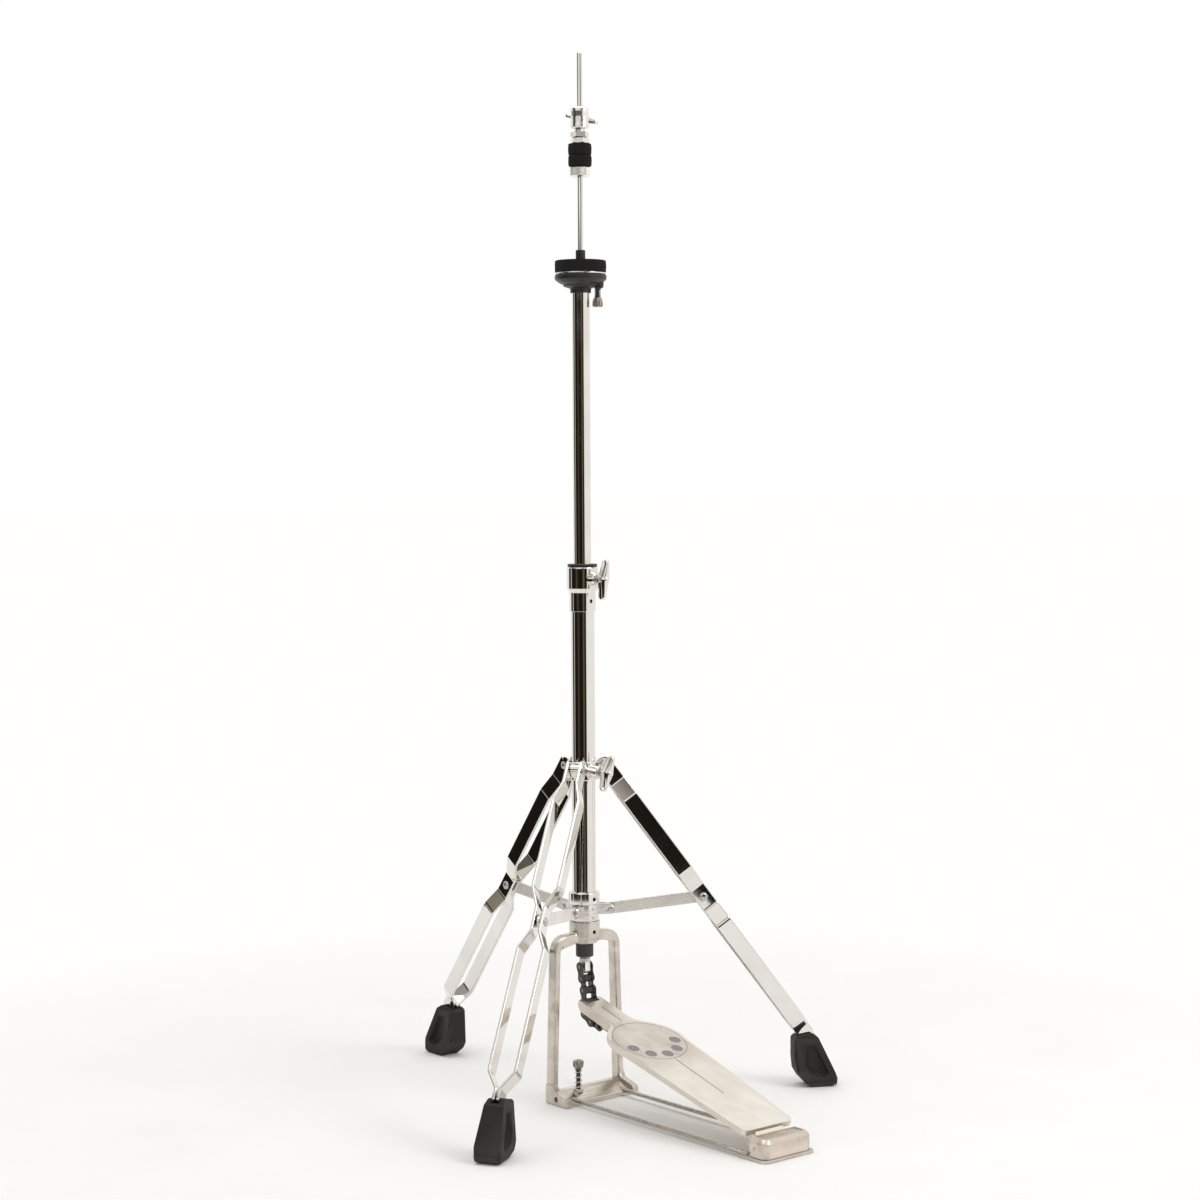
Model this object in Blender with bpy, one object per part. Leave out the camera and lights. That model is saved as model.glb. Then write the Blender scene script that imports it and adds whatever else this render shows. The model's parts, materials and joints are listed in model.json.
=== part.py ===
"""A hi-hat stand with a direct-pull chain drive and a double-braced folding tripod, at rest.

Metres, +Z up. The origin is on the tube axis at the floor. The pedal points to -Y, the yoke's
feet are at -X and +X, and the tripod's legs stand at -150, -30 and 90 degrees about +Z.
"""

import math

import bmesh
import bpy
from mathutils import Matrix, Vector

GAP = 0.0003
SEGMENTS = 24

# Tubes and rods
LOWER_TUBE_RADIUS = 0.0127
LOWER_TUBE_BORE = 0.0115
LOWER_TUBE_BOTTOM = 0.1756
LOWER_TUBE_TOP = 0.5437
UPPER_TUBE_RADIUS = 0.0095
UPPER_TUBE_BORE = 0.0083
UPPER_TUBE_BOTTOM = 0.420
UPPER_TUBE_TOP = 0.8677
ROD_RADIUS = 0.003
ROD_TOP = 1.1095
ROD_JOINT_Z = 0.362
BOLT_RADIUS = 0.003
WING_HALF_THICKNESS = 0.0024

# Base casting and yoke
COLLAR_RADIUS = 0.0165
COLLAR_BOTTOM = 0.167
COLLAR_TOP = 0.191
YOKE_TOP = 0.1790
YOKE_UNDER = 0.1668
YOKE_SHOULDER_X = 0.0444
YOKE_FOOT_X = 0.0500
YOKE_WALL = 0.0072
YOKE_FOOT_WIDTH = 0.0076
YOKE_HALF_DEPTH = 0.006
FOOT_FRONT_Y = -0.029
SPUR_X = -0.018
SPUR_Y = -0.010
RADIUS_ROD = 0.0022
ROD_X = 0.0335
ROD_HEIGHT = 0.0056

# Footboard and heel
HINGE_Y = -0.2840
HINGE_Z = 0.0145
HEEL_BLOCK_FRONT = -0.2895
HINGE_EAR = 0.0044
HINGE_PIN = 0.0020
BOARD_HEEL_Y = -0.2850
BOARD_HEEL_Z = 0.0267
BOARD_SLOPE = math.radians(16.26)
BOARD_LENGTH = 0.2812
BOARD_THICKNESS = 0.0058
BOARD_RIM = 0.0045
BOARD_POCKET = 0.0025
POCKET_HEEL = 0.014
DISC_CENTRE = 0.1870
DISC_RADIUS = 0.0445
NECK_FILLET = 0.022
TOE_HALF_WIDTH = 0.0145
TOE_THICKNESS = 0.0112
CHEEK_LENGTH = 0.0083
CHEEK_INSIDE = 0.0090
HEEL_HALF_WIDTH = 0.0335
HEEL_CORNER = 0.005

# Roller chain: half-inch pitch
CHAIN_PITCH = 0.0127
CHAIN_PIN = 0.0022
CHAIN_ROLLER = 0.0040
OPEN_PIN_HOLE = 0.0034
INNER_PLATE = (0.0042, 0.0057)
OUTER_PLATE = (0.0061, 0.0076)
PLATE_HEIGHT = 0.0051
CHAIN_LEAN = math.radians(12.0)
CHAIN_TOP = Vector((0.0, 0.0, 0.141))
TOE_PINS_YZ = ((-0.0079, 0.1037), (-0.0068, 0.0911), (-0.0174, 0.0841), (-0.0298, 0.0813))

# Tripod, in each leg's own upright plane: r is the distance from the tube axis
LEG_ANGLES = {"a": -150, "b": 90, "c": -30}
LEG_PIVOT = Vector((0.0232, 0.0, 0.356))
LEG_TILT = math.radians(36.4)
BRACE_PIVOT_S = 0.1786
HUB_PIVOT = Vector((0.028, 0.0, 0.203))
LEG_PIN = 0.0025
HUB_PIN = 0.0020
STRIP_HALF_WIDTH = 0.009
STRIP_THICKNESS = 0.003
LUG_OFFSET = 0.0073
SPREAD_OFFSET = 0.0140
PINCH_OFFSET = 0.0045
FOOT_OFFSET = 0.0023
STRIP_END = 0.378
STRIP_STATIONS = (
    (-0.0110, LUG_OFFSET),
    (0.020, LUG_OFFSET),
    (0.041, SPREAD_OFFSET),
    (0.142, SPREAD_OFFSET),
    (0.165, PINCH_OFFSET),
    (0.192, PINCH_OFFSET),
    (0.212, SPREAD_OFFSET),
    (0.345, SPREAD_OFFSET),
    (0.363, FOOT_OFFSET),
    (STRIP_END, FOOT_OFFSET),
)
BRACE_HALF_HEIGHT = 0.0064
BRACE_HALF_THICKNESS = 0.0016

# Heights of the turned parts on the tube axis
LEG_COLLAR = (0.342, 0.362)
BRACE_HUB = (0.1913, 0.2090)
STOP_RING = (0.2093, 0.2220)
HEIGHT_COLLAR = (0.522, 0.569)
HEIGHT_BOLT_Z = 0.5565
CUP_RIM_TOP = 0.8772
FELT_TOP = 0.8920
SLEEVE_TOP = 0.9030
CLUTCH_BODY = (1.030, 1.052)
CLUTCH_BOLT_Z = 1.0425
CLUTCH_NUT = (0.9795, 0.9902)
CLUTCH_BORE = 0.0033
TILTER_ANGLE = math.radians(-45)
TILTER_R = 0.0180
TILTER_TIP = 0.8769


def clear_scene():
    for old in list(bpy.data.objects):
        bpy.data.objects.remove(old)


def make_material(name, colour, roughness, metallic):
    made = bpy.data.materials.new(name)
    made.use_nodes = True
    shader = made.node_tree.nodes["Principled BSDF"]
    shader.inputs["Base Color"].default_value = (*colour, 1.0)
    shader.inputs["Roughness"].default_value = roughness
    shader.inputs["Metallic"].default_value = metallic
    return made


def turn(angle):
    return Matrix.Rotation(math.radians(angle), 4, "Z")


def axes(origin, along, side):
    """A frame at origin whose Z is `along` and whose X is near `side`."""
    z = Vector(along).normalized()
    y = z.cross(Vector(side)).normalized()
    x = y.cross(z)
    rows = Matrix((x, y, z)).transposed().to_4x4()
    return Matrix.Translation(Vector(origin)) @ rows


def finish(name, bm, material=None, matrix=None):
    """Makes an object of the bmesh, placed by `matrix`."""
    bmesh.ops.recalc_face_normals(bm, faces=bm.faces)
    mesh = bpy.data.meshes.new(name)
    bm.to_mesh(mesh)
    bm.free()
    mesh.shade_smooth()
    mesh.set_sharp_from_angle(angle=math.radians(35))
    if material:
        mesh.materials.append(material)
    made = bpy.data.objects.new(name, mesh)
    bpy.context.scene.collection.objects.link(made)
    made.matrix_world = matrix or Matrix()
    return made


def lathe(name, profile, material=None, matrix=None, segments=SEGMENTS):
    """Turns a profile of (radius, z) points about Z. It closes on itself, or on the axis."""
    bm = bmesh.new()
    verts = [bm.verts.new((r, 0.0, z)) for r, z in profile]
    edges = [bm.edges.new(pair) for pair in zip(verts, verts[1:])]
    if profile[0][0] > 0 or profile[-1][0] > 0:
        edges.append(bm.edges.new((verts[-1], verts[0])))
    bmesh.ops.spin(
        bm,
        geom=verts + edges,
        cent=(0, 0, 0),
        axis=(0, 0, 1),
        angle=2 * math.pi,
        steps=segments,
        use_merge=True,
    )
    bmesh.ops.remove_doubles(bm, verts=bm.verts, dist=1e-6)
    return finish(name, bm, material, matrix)


def ring(name, inner, outer, low, high, material=None, bevel=0.0, matrix=None, segments=SEGMENTS):
    """A plain collar with bevelled outer edges."""
    profile = [(inner, low), (outer - bevel, low), (outer, low + bevel), (outer, high - bevel)]
    profile += [(outer - bevel, high), (inner, high)]
    if not bevel:
        profile = [(inner, low), (outer, low), (outer, high), (inner, high)]
    return lathe(name, profile, material, matrix, segments)


def cylinder(name, radius, low, high, material=None, matrix=None, segments=12):
    return lathe(name, [(0, low), (radius, low), (radius, high), (0, high)], material, matrix, segments)


def prism(name, outline, low, high, material=None, matrix=None):
    """Extrudes a flat outline of (x, y) points from low to high along Z."""
    bm = bmesh.new()
    face = bm.faces.new([bm.verts.new((x, y, low)) for x, y in outline])
    made = bmesh.ops.extrude_face_region(bm, geom=[face])["geom"]
    moved = [item for item in made if isinstance(item, bmesh.types.BMVert)]
    bmesh.ops.translate(bm, vec=(0, 0, high - low), verts=moved)
    return finish(name, bm, material, matrix)


def loft(name, loops, material=None, matrix=None):
    """Joins loops of points, bottom to top, and caps both ends."""
    bm = bmesh.new()
    rows = [[bm.verts.new(point) for point in loop] for loop in loops]
    for low, high in zip(rows, rows[1:]):
        for i in range(len(low)):
            j = (i + 1) % len(low)
            bm.faces.new((low[i], low[j], high[j], high[i]))
    bm.faces.new(rows[0])
    bm.faces.new(rows[-1])
    return finish(name, bm, material, matrix)


def carve(body, tools, operation="DIFFERENCE"):
    """Applies exact Booleans of the tools to the body, and removes the tools."""
    for tool in tools:
        modifier = body.modifiers.new(tool.name, "BOOLEAN")
        modifier.operation = operation
        modifier.solver = "EXACT"
        modifier.object = tool
    bpy.context.view_layer.update()
    graph = bpy.context.evaluated_depsgraph_get()
    body_mesh = bpy.data.meshes.new_from_object(body.evaluated_get(graph))
    body.modifiers.clear()
    body.data = body_mesh
    for tool in tools:
        bpy.data.objects.remove(tool)
    return body


def copy_turned(source, name, angle):
    """A copy of the object that shares its mesh, turned about the tube axis."""
    made = bpy.data.objects.new(name, source.data)
    bpy.context.scene.collection.objects.link(made)
    made.matrix_world = turn(angle) @ source.matrix_world
    return made


def pivot(name, point, members):
    """An empty on a joint's axis, which carries the joint's moving pieces."""
    empty = bpy.data.objects.new(name, None)
    empty.location = point
    bpy.context.scene.collection.objects.link(empty)
    bpy.context.view_layer.update()
    for member in members:
        member.parent = empty
        member.matrix_parent_inverse = empty.matrix_world.inverted()
    return empty


def arc(centre, radius, start, end, steps):
    """Points on an arc, in degrees, both ends included."""
    points = []
    for i in range(steps + 1):
        angle = math.radians(start + (end - start) * i / steps)
        points.append((centre[0] + radius * math.cos(angle), centre[1] + radius * math.sin(angle)))
    return points


def mirrored(points):
    """An outline from its -X half, which runs from one end of the centre line to the other."""
    return points + [(-x, y) for x, y in reversed(points)]


def stadium(start, end, radius, steps=6):
    """The outline of a bar with round ends about two points."""
    run = math.degrees(math.atan2(end[1] - start[1], end[0] - start[0]))
    points = arc(end, radius, run - 90, run + 90, steps)
    return points + arc(start, radius, run + 90, run + 270, steps)


def make_wing_bolt(name, material, tip, head, span, deep, frame, roll):
    """A wing bolt along the frame's Z: shank from `tip`, wings about `head`, `deep` either way."""
    profile = [(0, tip), (BOLT_RADIUS, tip), (BOLT_RADIUS, head - 0.0055), (0.0062, head - 0.0045)]
    profile += [(0.0066, head + 0.0020), (0.0045, head + 0.0055), (0, head + 0.0055)]
    rolled = frame @ Matrix.Rotation(roll, 4, "Z")
    hub = lathe(name, profile, material, rolled, 16)
    half = [(0.0, head - deep - 0.0016)]
    half += arc((-0.5 * span + deep, head + 0.0012), deep, 240, 90, 4)
    half += [(0.0, head + deep + 0.0026)]
    outline = half + [(-x, z) for x, z in reversed(half[1:-1])]
    upright = rolled @ Matrix.Rotation(math.radians(90), 4, "X")
    wings = prism("wings", outline, -WING_HALF_THICKNESS, WING_HALF_THICKNESS, None, upright)
    return carve(hub, [wings], "UNION")


# ---------------------------------------------------------------- base


def yoke_outline():
    """The inverted U of the casting, in X and Z: the outer wall up to the crown and the inner one down."""
    outer = [(-YOKE_FOOT_X, 0.0)]
    outer += arc((-YOKE_SHOULDER_X + 0.013, YOKE_TOP - 0.013), 0.013, 180, 90, 5)
    inner = arc((-YOKE_SHOULDER_X + YOKE_WALL + 0.008, YOKE_UNDER - 0.008), 0.008, 90, 180, 4)
    inner += [(-YOKE_FOOT_X + YOKE_WALL, 0.0)]
    right_outer = [(-x, z) for x, z in reversed(outer)]
    right_inner = [(-x, z) for x, z in reversed(inner)]
    return outer + right_outer + right_inner + inner


def make_base_casting(material):
    """The collar on the lower tube's foot, with two arms, two legs and two feet, in one casting."""
    upright = Matrix.Rotation(math.radians(90), 4, "X")
    casting = prism("base_casting", yoke_outline(), -YOKE_HALF_DEPTH, YOKE_HALF_DEPTH, material, upright)
    collar = lathe(
        "collar",
        [
            (0, COLLAR_BOTTOM),
            (0.0135, COLLAR_BOTTOM),
            (COLLAR_RADIUS, COLLAR_BOTTOM + 0.007),
            (COLLAR_RADIUS, COLLAR_TOP),
            (0, COLLAR_TOP),
        ],
    )
    side = axes((0, 0, 0), (1, 0, 0), (0, 1, 0))
    foot_outline = [(YOKE_HALF_DEPTH, 0), (YOKE_HALF_DEPTH, 0.019), (-YOKE_HALF_DEPTH, 0.019)]
    foot_outline += [(-0.0085, 0.0145), (FOOT_FRONT_Y + 0.002, 0.0095)]
    foot_outline += [(FOOT_FRONT_Y, 0.0075), (FOOT_FRONT_Y, 0)]
    feet = []
    for sign in (-1, 1):
        ends = sorted((sign * (YOKE_FOOT_X - YOKE_FOOT_WIDTH), sign * (YOKE_FOOT_X + 0.0002)))
        feet.append(prism("foot", foot_outline, ends[0], ends[1], None, side))
    carve(casting, [collar] + feet, "UNION")
    tube_bore = cylinder("bore", LOWER_TUBE_RADIUS + GAP, LOWER_TUBE_BOTTOM - GAP, 0.2, None, None, SEGMENTS)
    rod_bore = cylinder("bore", 0.0055, 0.15, 0.2)
    return carve(casting, [tube_bore, rod_bore])


def make_crossbar(material):
    """The bar between the yoke's feet. Its sloping face takes the two radius rods and the spur."""
    side = axes((0, 0, 0), (1, 0, 0), (0, 1, 0))
    outline = [(0.0057, 0), (0.0057, 0.0115), (0.004, 0.0130)]
    outline += [(-0.0050, 0.0135), (-0.0262, 0.0045), (-0.0262, 0)]
    inner_x = YOKE_FOOT_X - YOKE_FOOT_WIDTH - GAP
    bar = prism("base_crossbar", outline, -inner_x, inner_x, material, side)
    holes = [cylinder("hole", 0.0029, 0.0012, 0.05, None, Matrix.Translation((SPUR_X, SPUR_Y, 0)))]
    for sign in (-1, 1):
        forward = axes((sign * ROD_X, 0, ROD_HEIGHT), (0, -1, 0), (1, 0, 0))
        holes.append(cylinder("hole", RADIUS_ROD + GAP, 0.0155, 0.04, None, forward))
    return carve(bar, holes)


def make_spur(material):
    """The knurled spur bolt, with its lock spring, screwed into the crossbar."""
    rings = [(0, 0.0016), (0.0025, 0.0016), (0.0025, 0.0150)]
    for i in range(4):
        z = 0.0190 + 0.0042 * i
        rings += [(0.0031, z - 0.0012), (0.0042, z), (0.0031, z + 0.0012)]
    rings += [(0.0031, 0.0345), (0.0058, 0.0372), (0.0060, 0.0425), (0.0052, 0.0436), (0, 0.0436)]
    return lathe("spur_bolt", rings, material, Matrix.Translation((SPUR_X, SPUR_Y, 0)), 12)


def hinge_frame():
    return axes((0, HINGE_Y, HINGE_Z), (1, 0, 0), (0, 1, 0))


def make_heel_block(material):
    """The heel casting, with two ears that hold the hinge pin in front of it."""
    flat = arc((-0.0275, -0.3075), 0.005, 180, 270, 3)
    outline = mirrored([(-0.0325, HEEL_BLOCK_FRONT)] + flat)
    block = prism("heel_block", outline, 0.0033, 0.0220, material)
    side = axes((0, 0, 0), (1, 0, 0), (0, 1, 0))
    root_y = HEEL_BLOCK_FRONT - 0.001
    ear = arc((HINGE_Y, HINGE_Z), HINGE_EAR, 90, -40, 5)
    ear += [(HINGE_Y - 0.001, 0.0050), (root_y, 0.0050), (root_y, HINGE_Z + HINGE_EAR)]
    ears = []
    for sign in (-1, 1):
        ends = sorted((sign * 0.0190, sign * 0.0260))
        ears.append(prism("ear", ear, ends[0], ends[1], None, side))
    carve(block, ears, "UNION")
    return carve(block, [cylinder("hole", HINGE_PIN + GAP, -0.03, 0.03, None, hinge_frame())])


def make_base(materials):
    """Everything that stays still: the root of the tree."""
    steel, cast, rubber = materials["chrome"], materials["cast"], materials["rubber"]
    make_base_casting(cast)
    make_crossbar(cast)
    ring("lower_tube", LOWER_TUBE_BORE, LOWER_TUBE_RADIUS, LOWER_TUBE_BOTTOM, LOWER_TUBE_TOP, steel)
    ring("rod_bumper", 0.0042, 0.0094, 0.1520, COLLAR_BOTTOM - GAP, rubber, 0.001)
    ring("stop_ring", LOWER_TUBE_RADIUS + GAP, 0.0168, *STOP_RING, steel, 0.0008)
    ring("spring_seat", 0.0036, 0.0111, 0.205, 0.2090, materials["zinc"])
    make_heel_block(cast)
    plate_outline = mirrored([(-0.0345, -0.2740)] + arc((-0.0290, -0.3090), 0.0055, 180, 270, 3))
    prism("heel_plate", plate_outline, 0.0, 0.0030, cast)
    cylinder("heel_pin", HINGE_PIN, -0.0262, 0.0262, materials["zinc"], hinge_frame())
    for name, sign in (("radius_rod_left", -1), ("radius_rod_right", 1)):
        frame = axes((sign * ROD_X, 0, ROD_HEIGHT), (0, -1, 0), (1, 0, 0))
        cylinder(name, RADIUS_ROD, 0.0160, -HEEL_BLOCK_FRONT - GAP, steel, frame, 10)
    spur = make_spur(materials["dark_steel"])
    pivot("spur_turn", (SPUR_X, SPUR_Y, 0), [spur])


def make_height_collar(materials):
    """The height adjuster on top of the lower tube: collar, nylon bush and wing bolt."""
    low, high = HEIGHT_COLLAR
    shoulder = low + 0.024
    bore = LOWER_TUBE_RADIUS + GAP
    profile = [(bore, low), (0.0138, low), (0.0142, low + 0.001), (0.0142, shoulder - 0.004)]
    profile += [(0.0168, shoulder + 0.001), (0.0168, high - 0.0006), (0.0162, high), (bore, high)]
    collar = lathe("height_collar", profile, materials["chrome"])
    forward = axes((0, 0, HEIGHT_BOLT_Z), (0, -1, 0), (1, 0, 0))
    boss = cylinder("boss", 0.0070, 0.0145, 0.0262, None, forward, 16)
    carve(collar, [boss], "UNION")
    carve(collar, [cylinder("hole", BOLT_RADIUS + GAP, 0.005, 0.03, None, forward)])
    bush_profile = [(UPPER_TUBE_RADIUS + GAP, LOWER_TUBE_TOP + GAP), (bore - GAP, LOWER_TUBE_TOP + GAP)]
    bush_profile += [(bore - GAP, high + GAP), (0.0158, high + GAP), (0.0158, 0.5718), (0.0152, 0.5722)]
    bush_profile += [(UPPER_TUBE_RADIUS + GAP, 0.5722)]
    bush = lathe("height_bush", bush_profile, materials["black_plastic"])
    carve(bush, [cylinder("hole", BOLT_RADIUS + GAP, 0.005, 0.03, None, forward)])
    wing = make_wing_bolt(
        "height_wing_bolt",
        materials["chrome"],
        UPPER_TUBE_RADIUS + 0.0004,
        0.0340,
        0.043,
        0.0048,
        forward,
        math.radians(82),
    )
    pivot("height_wing_turn", (0, 0, HEIGHT_BOLT_Z), [wing])


# ---------------------------------------------------------------- pedal and chain


def board_outline():
    """Half of the footboard's plan, from the middle of the heel to the middle of the toe."""
    disc = (0.0, DISC_CENTRE)
    half = arc((-HEEL_HALF_WIDTH + HEEL_CORNER, HEEL_CORNER), HEEL_CORNER, 270, 180, 3)
    half += arc(disc, DISC_RADIUS, 197, 123, 9)
    rise = math.sqrt((DISC_RADIUS + NECK_FILLET) ** 2 - (TOE_HALF_WIDTH + NECK_FILLET) ** 2)
    fillet = (-TOE_HALF_WIDTH - NECK_FILLET, DISC_CENTRE + rise)
    lean = math.degrees(math.atan2(rise, TOE_HALF_WIDTH + NECK_FILLET))
    half += arc(fillet, NECK_FILLET, -lean, 0, 4)
    half += [(-TOE_HALF_WIDTH, BOARD_LENGTH - 0.002), (-TOE_HALF_WIDTH + 0.002, BOARD_LENGTH)]
    return mirrored(half)


def board_frame():
    """X across, Y up the slope from the heel edge to the toe, Z out of the top face."""
    slope = Matrix.Rotation(BOARD_SLOPE, 4, "X")
    return Matrix.Translation((0, BOARD_HEEL_Y, BOARD_HEEL_Z)) @ slope


def make_footboard(material):
    """The cast footboard: a rimmed plate, a thick toe and a hinge knuckle under the heel."""
    frame = board_frame()
    board = prism("footboard", board_outline(), -BOARD_THICKNESS, 0.0, material, frame)
    root = BOARD_LENGTH - 0.052
    toe_side = [(root, -0.001), (BOARD_LENGTH, -0.001), (BOARD_LENGTH, 0.0045 - TOE_THICKNESS)]
    toe_side += [(BOARD_LENGTH - 0.0045, -TOE_THICKNESS)]
    toe_side += [(root + 0.012, -TOE_THICKNESS), (root, -BOARD_THICKNESS)]
    world_across = axes((0, 0, 0), (1, 0, 0), (0, 1, 0))
    half_width = TOE_HALF_WIDTH - 0.0002
    toe = prism("toe", toe_side, -half_width, half_width, None, frame @ world_across)
    tip = BOARD_LENGTH + CHEEK_LENGTH
    cheek_side = [(BOARD_LENGTH - 0.008, -0.0002), (tip - 0.0020, -0.0002), (tip, -0.0022)]
    cheek_side += [(tip, 0.0045 - TOE_THICKNESS), (tip - 0.0045, -TOE_THICKNESS - 0.0001)]
    cheek_side += [(BOARD_LENGTH - 0.008, -TOE_THICKNESS + 0.0001)]
    cheeks = []
    for ends in ((-half_width - 0.0001, -CHEEK_INSIDE), (CHEEK_INSIDE, half_width + 0.0001)):
        cheeks.append(prism("cheek", cheek_side, *ends, None, frame @ world_across))
    knuckle_side = arc((HINGE_Y, HINGE_Z), HINGE_EAR, 160, 380, 8)
    knuckle_side += [(HINGE_Y + 0.006, 0.0245), (HINGE_Y, 0.0235)]
    knuckle = prism("knuckle", knuckle_side, -0.0187, 0.0187, None, world_across)
    pocket_half = [(-HEEL_HALF_WIDTH + BOARD_RIM, POCKET_HEEL)]
    pocket_half += arc((0.0, DISC_CENTRE), DISC_RADIUS - BOARD_RIM, 197, 127, 7)
    depth = BOARD_THICKNESS - BOARD_POCKET
    pocket = prism("pocket", mirrored(pocket_half), -0.02, -depth, None, frame)
    carve(board, [pocket])
    carve(board, [toe, knuckle] + cheeks, "UNION")
    return carve(board, [cylinder("hole", HINGE_PIN + GAP, -0.03, 0.03, None, hinge_frame())])


def link_frame(start, end):
    """X along the link from one pin to the next, Z across the chain."""
    return axes(start, (1, 0, 0), (end - start))


def make_link(name, start, end, material, outer, holes=(CHAIN_PIN + GAP, CHAIN_PIN + GAP)):
    """One chain link: two plates, with two pins on an outer link and two hollow rollers on an inner one."""
    frame = link_frame(start, end)
    low, high = OUTER_PLATE if outer else INNER_PLATE
    outline = stadium((0, 0), ((end - start).length, 0), PLATE_HEIGHT, 5)
    body = prism(name, outline, low, high, material, frame)
    parts = [prism("plate", outline, -high, -low, None, frame)]
    radius = CHAIN_PIN if outer else CHAIN_ROLLER
    reach = high + 0.0008 if outer else high - 0.0002
    for x in (0.0, (end - start).length):
        parts.append(cylinder("pin", radius, -reach, reach, None, frame @ Matrix.Translation((x, 0, 0)), 10))
    carve(body, parts, "UNION")
    if outer:
        return body
    bores = []
    for x, radius in zip((0.0, (end - start).length), holes):
        bores.append(cylinder("bore", radius, -0.02, 0.02, None, frame @ Matrix.Translation((x, 0, 0)), 10))
    return carve(body, bores)


def make_chain(material):
    """The upper run of three links that swings on the rod end, and the links wrapped on the toe."""
    step = Vector((0, -math.sin(CHAIN_LEAN), -math.cos(CHAIN_LEAN))) * CHAIN_PITCH
    pins = [CHAIN_TOP + step * i for i in range(4)]
    run = [
        make_link("chain_outer_link_1", pins[0], pins[1], material, True),
        make_link("chain_inner_link_2", pins[1], pins[2], material, False),
        make_link("chain_outer_link_3", pins[2], pins[3], material, True),
    ]
    pivot("chain_swing", CHAIN_TOP, run)
    toe_pins = [Vector((0, y, z)) for y, z in TOE_PINS_YZ]
    wrap = make_link("toe_chain", toe_pins[1], toe_pins[2], material, True)
    ends = [
        make_link("link", toe_pins[0], toe_pins[1], None, False, (OPEN_PIN_HOLE, 0.0010)),
        make_link("link", toe_pins[2], toe_pins[3], None, False, (0.0010, 0.0010)),
    ]
    return carve(wrap, ends, "UNION")


def make_toe_clamp(material):
    """The block and screw under the toe that hold the chain's end."""
    frame = board_frame() @ axes((0, 0, 0), (1, 0, 0), (0, 1, 0))
    top = -TOE_THICKNESS - GAP
    start = BOARD_LENGTH - 0.0385
    outline = [(start, top), (start, top - 0.0050), (start + 0.0015, top - 0.0065)]
    outline += [(start + 0.0105, top - 0.0065), (start + 0.0120, top - 0.0050), (start + 0.0120, top)]
    return prism("toe_clamp", outline, -0.0070, 0.0070, material, frame)


# ---------------------------------------------------------------- pull rod and clutch


def make_pull_rod(materials):
    """The pull rod in two screwed lengths, its end at the chain, its spring and the spring's cap."""
    steel, zinc = materials["chrome"], materials["zinc"]
    joint = ROD_JOINT_Z
    lower_profile = [(0, 0.1585), (ROD_RADIUS, 0.1585), (ROD_RADIUS, joint - 0.017), (0.0055, joint - 0.016)]
    lower_profile += [(0.0055, joint + 0.013), (ROD_RADIUS + GAP, joint + 0.013)]
    lower_profile += [(ROD_RADIUS + GAP, joint - GAP)]
    lower_profile += [(0, joint - GAP)]
    lower = lathe("lower_pull_rod", lower_profile, zinc, None, 12)
    upper_profile = [(0, joint), (ROD_RADIUS, joint)]
    upper_profile += [(ROD_RADIUS, ROD_TOP - 0.001), (0.002, ROD_TOP), (0, ROD_TOP)]
    upper = lathe("upper_pull_rod", upper_profile, steel, None, 16)
    end_profile = [(0, 0.1465), (0.0058, 0.1465), (0.0058, 0.1505), (0.0052, 0.1517), (0.0035, 0.1517)]
    end_profile += [(0.0035, 0.1580), (ROD_RADIUS + GAP, 0.1582), (0, 0.1582)]
    rod_end = lathe("rod_end", end_profile, zinc, None, 16)
    tongue_outline = [(-0.0052, 0.1470)] + arc((0, 0.1385), 0.0052, 180, 360, 5) + [(0.0052, 0.1470)]
    tongue = prism("tongue", tongue_outline, -0.0034, 0.0034, None, axes((0, 0, 0), (1, 0, 0), (0, 1, 0)))
    carve(rod_end, [tongue], "UNION")
    pin_hole = cylinder("hole", CHAIN_PIN + GAP, -0.01, 0.01, None, axes(CHAIN_TOP, (1, 0, 0), (0, 1, 0)))
    carve(rod_end, [pin_hole])
    cap = ring("spring_cap", ROD_RADIUS + GAP, 0.0105, 0.3056, 0.3110, zinc)
    spring = make_spring(zinc)
    pivot("rod_travel", (0, 0, 0), [lower, upper, rod_end, cap, spring])


def make_spring(material):
    """The return spring between the seat in the lower tube and the cap on the rod."""
    wire, coil, turns, per_turn = 0.0008, 0.0085, 8, 10
    low, high = 0.2102, 0.3046
    curve = bpy.data.curves.new("return_spring", "CURVE")
    curve.dimensions = "3D"
    curve.bevel_depth = wire
    curve.bevel_resolution = 0
    curve.use_fill_caps = True
    spline = curve.splines.new("POLY")
    count = turns * per_turn + 1
    spline.points.add(count - 1)
    for i in range(count):
        angle = 2 * math.pi * i / per_turn
        z = low + (high - low) * i / (count - 1)
        spline.points[i].co = (coil * math.cos(angle), coil * math.sin(angle), z, 1)
    curve.materials.append(material)
    spring = bpy.data.objects.new("return_spring", curve)
    bpy.context.scene.collection.objects.link(spring)
    return spring


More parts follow.
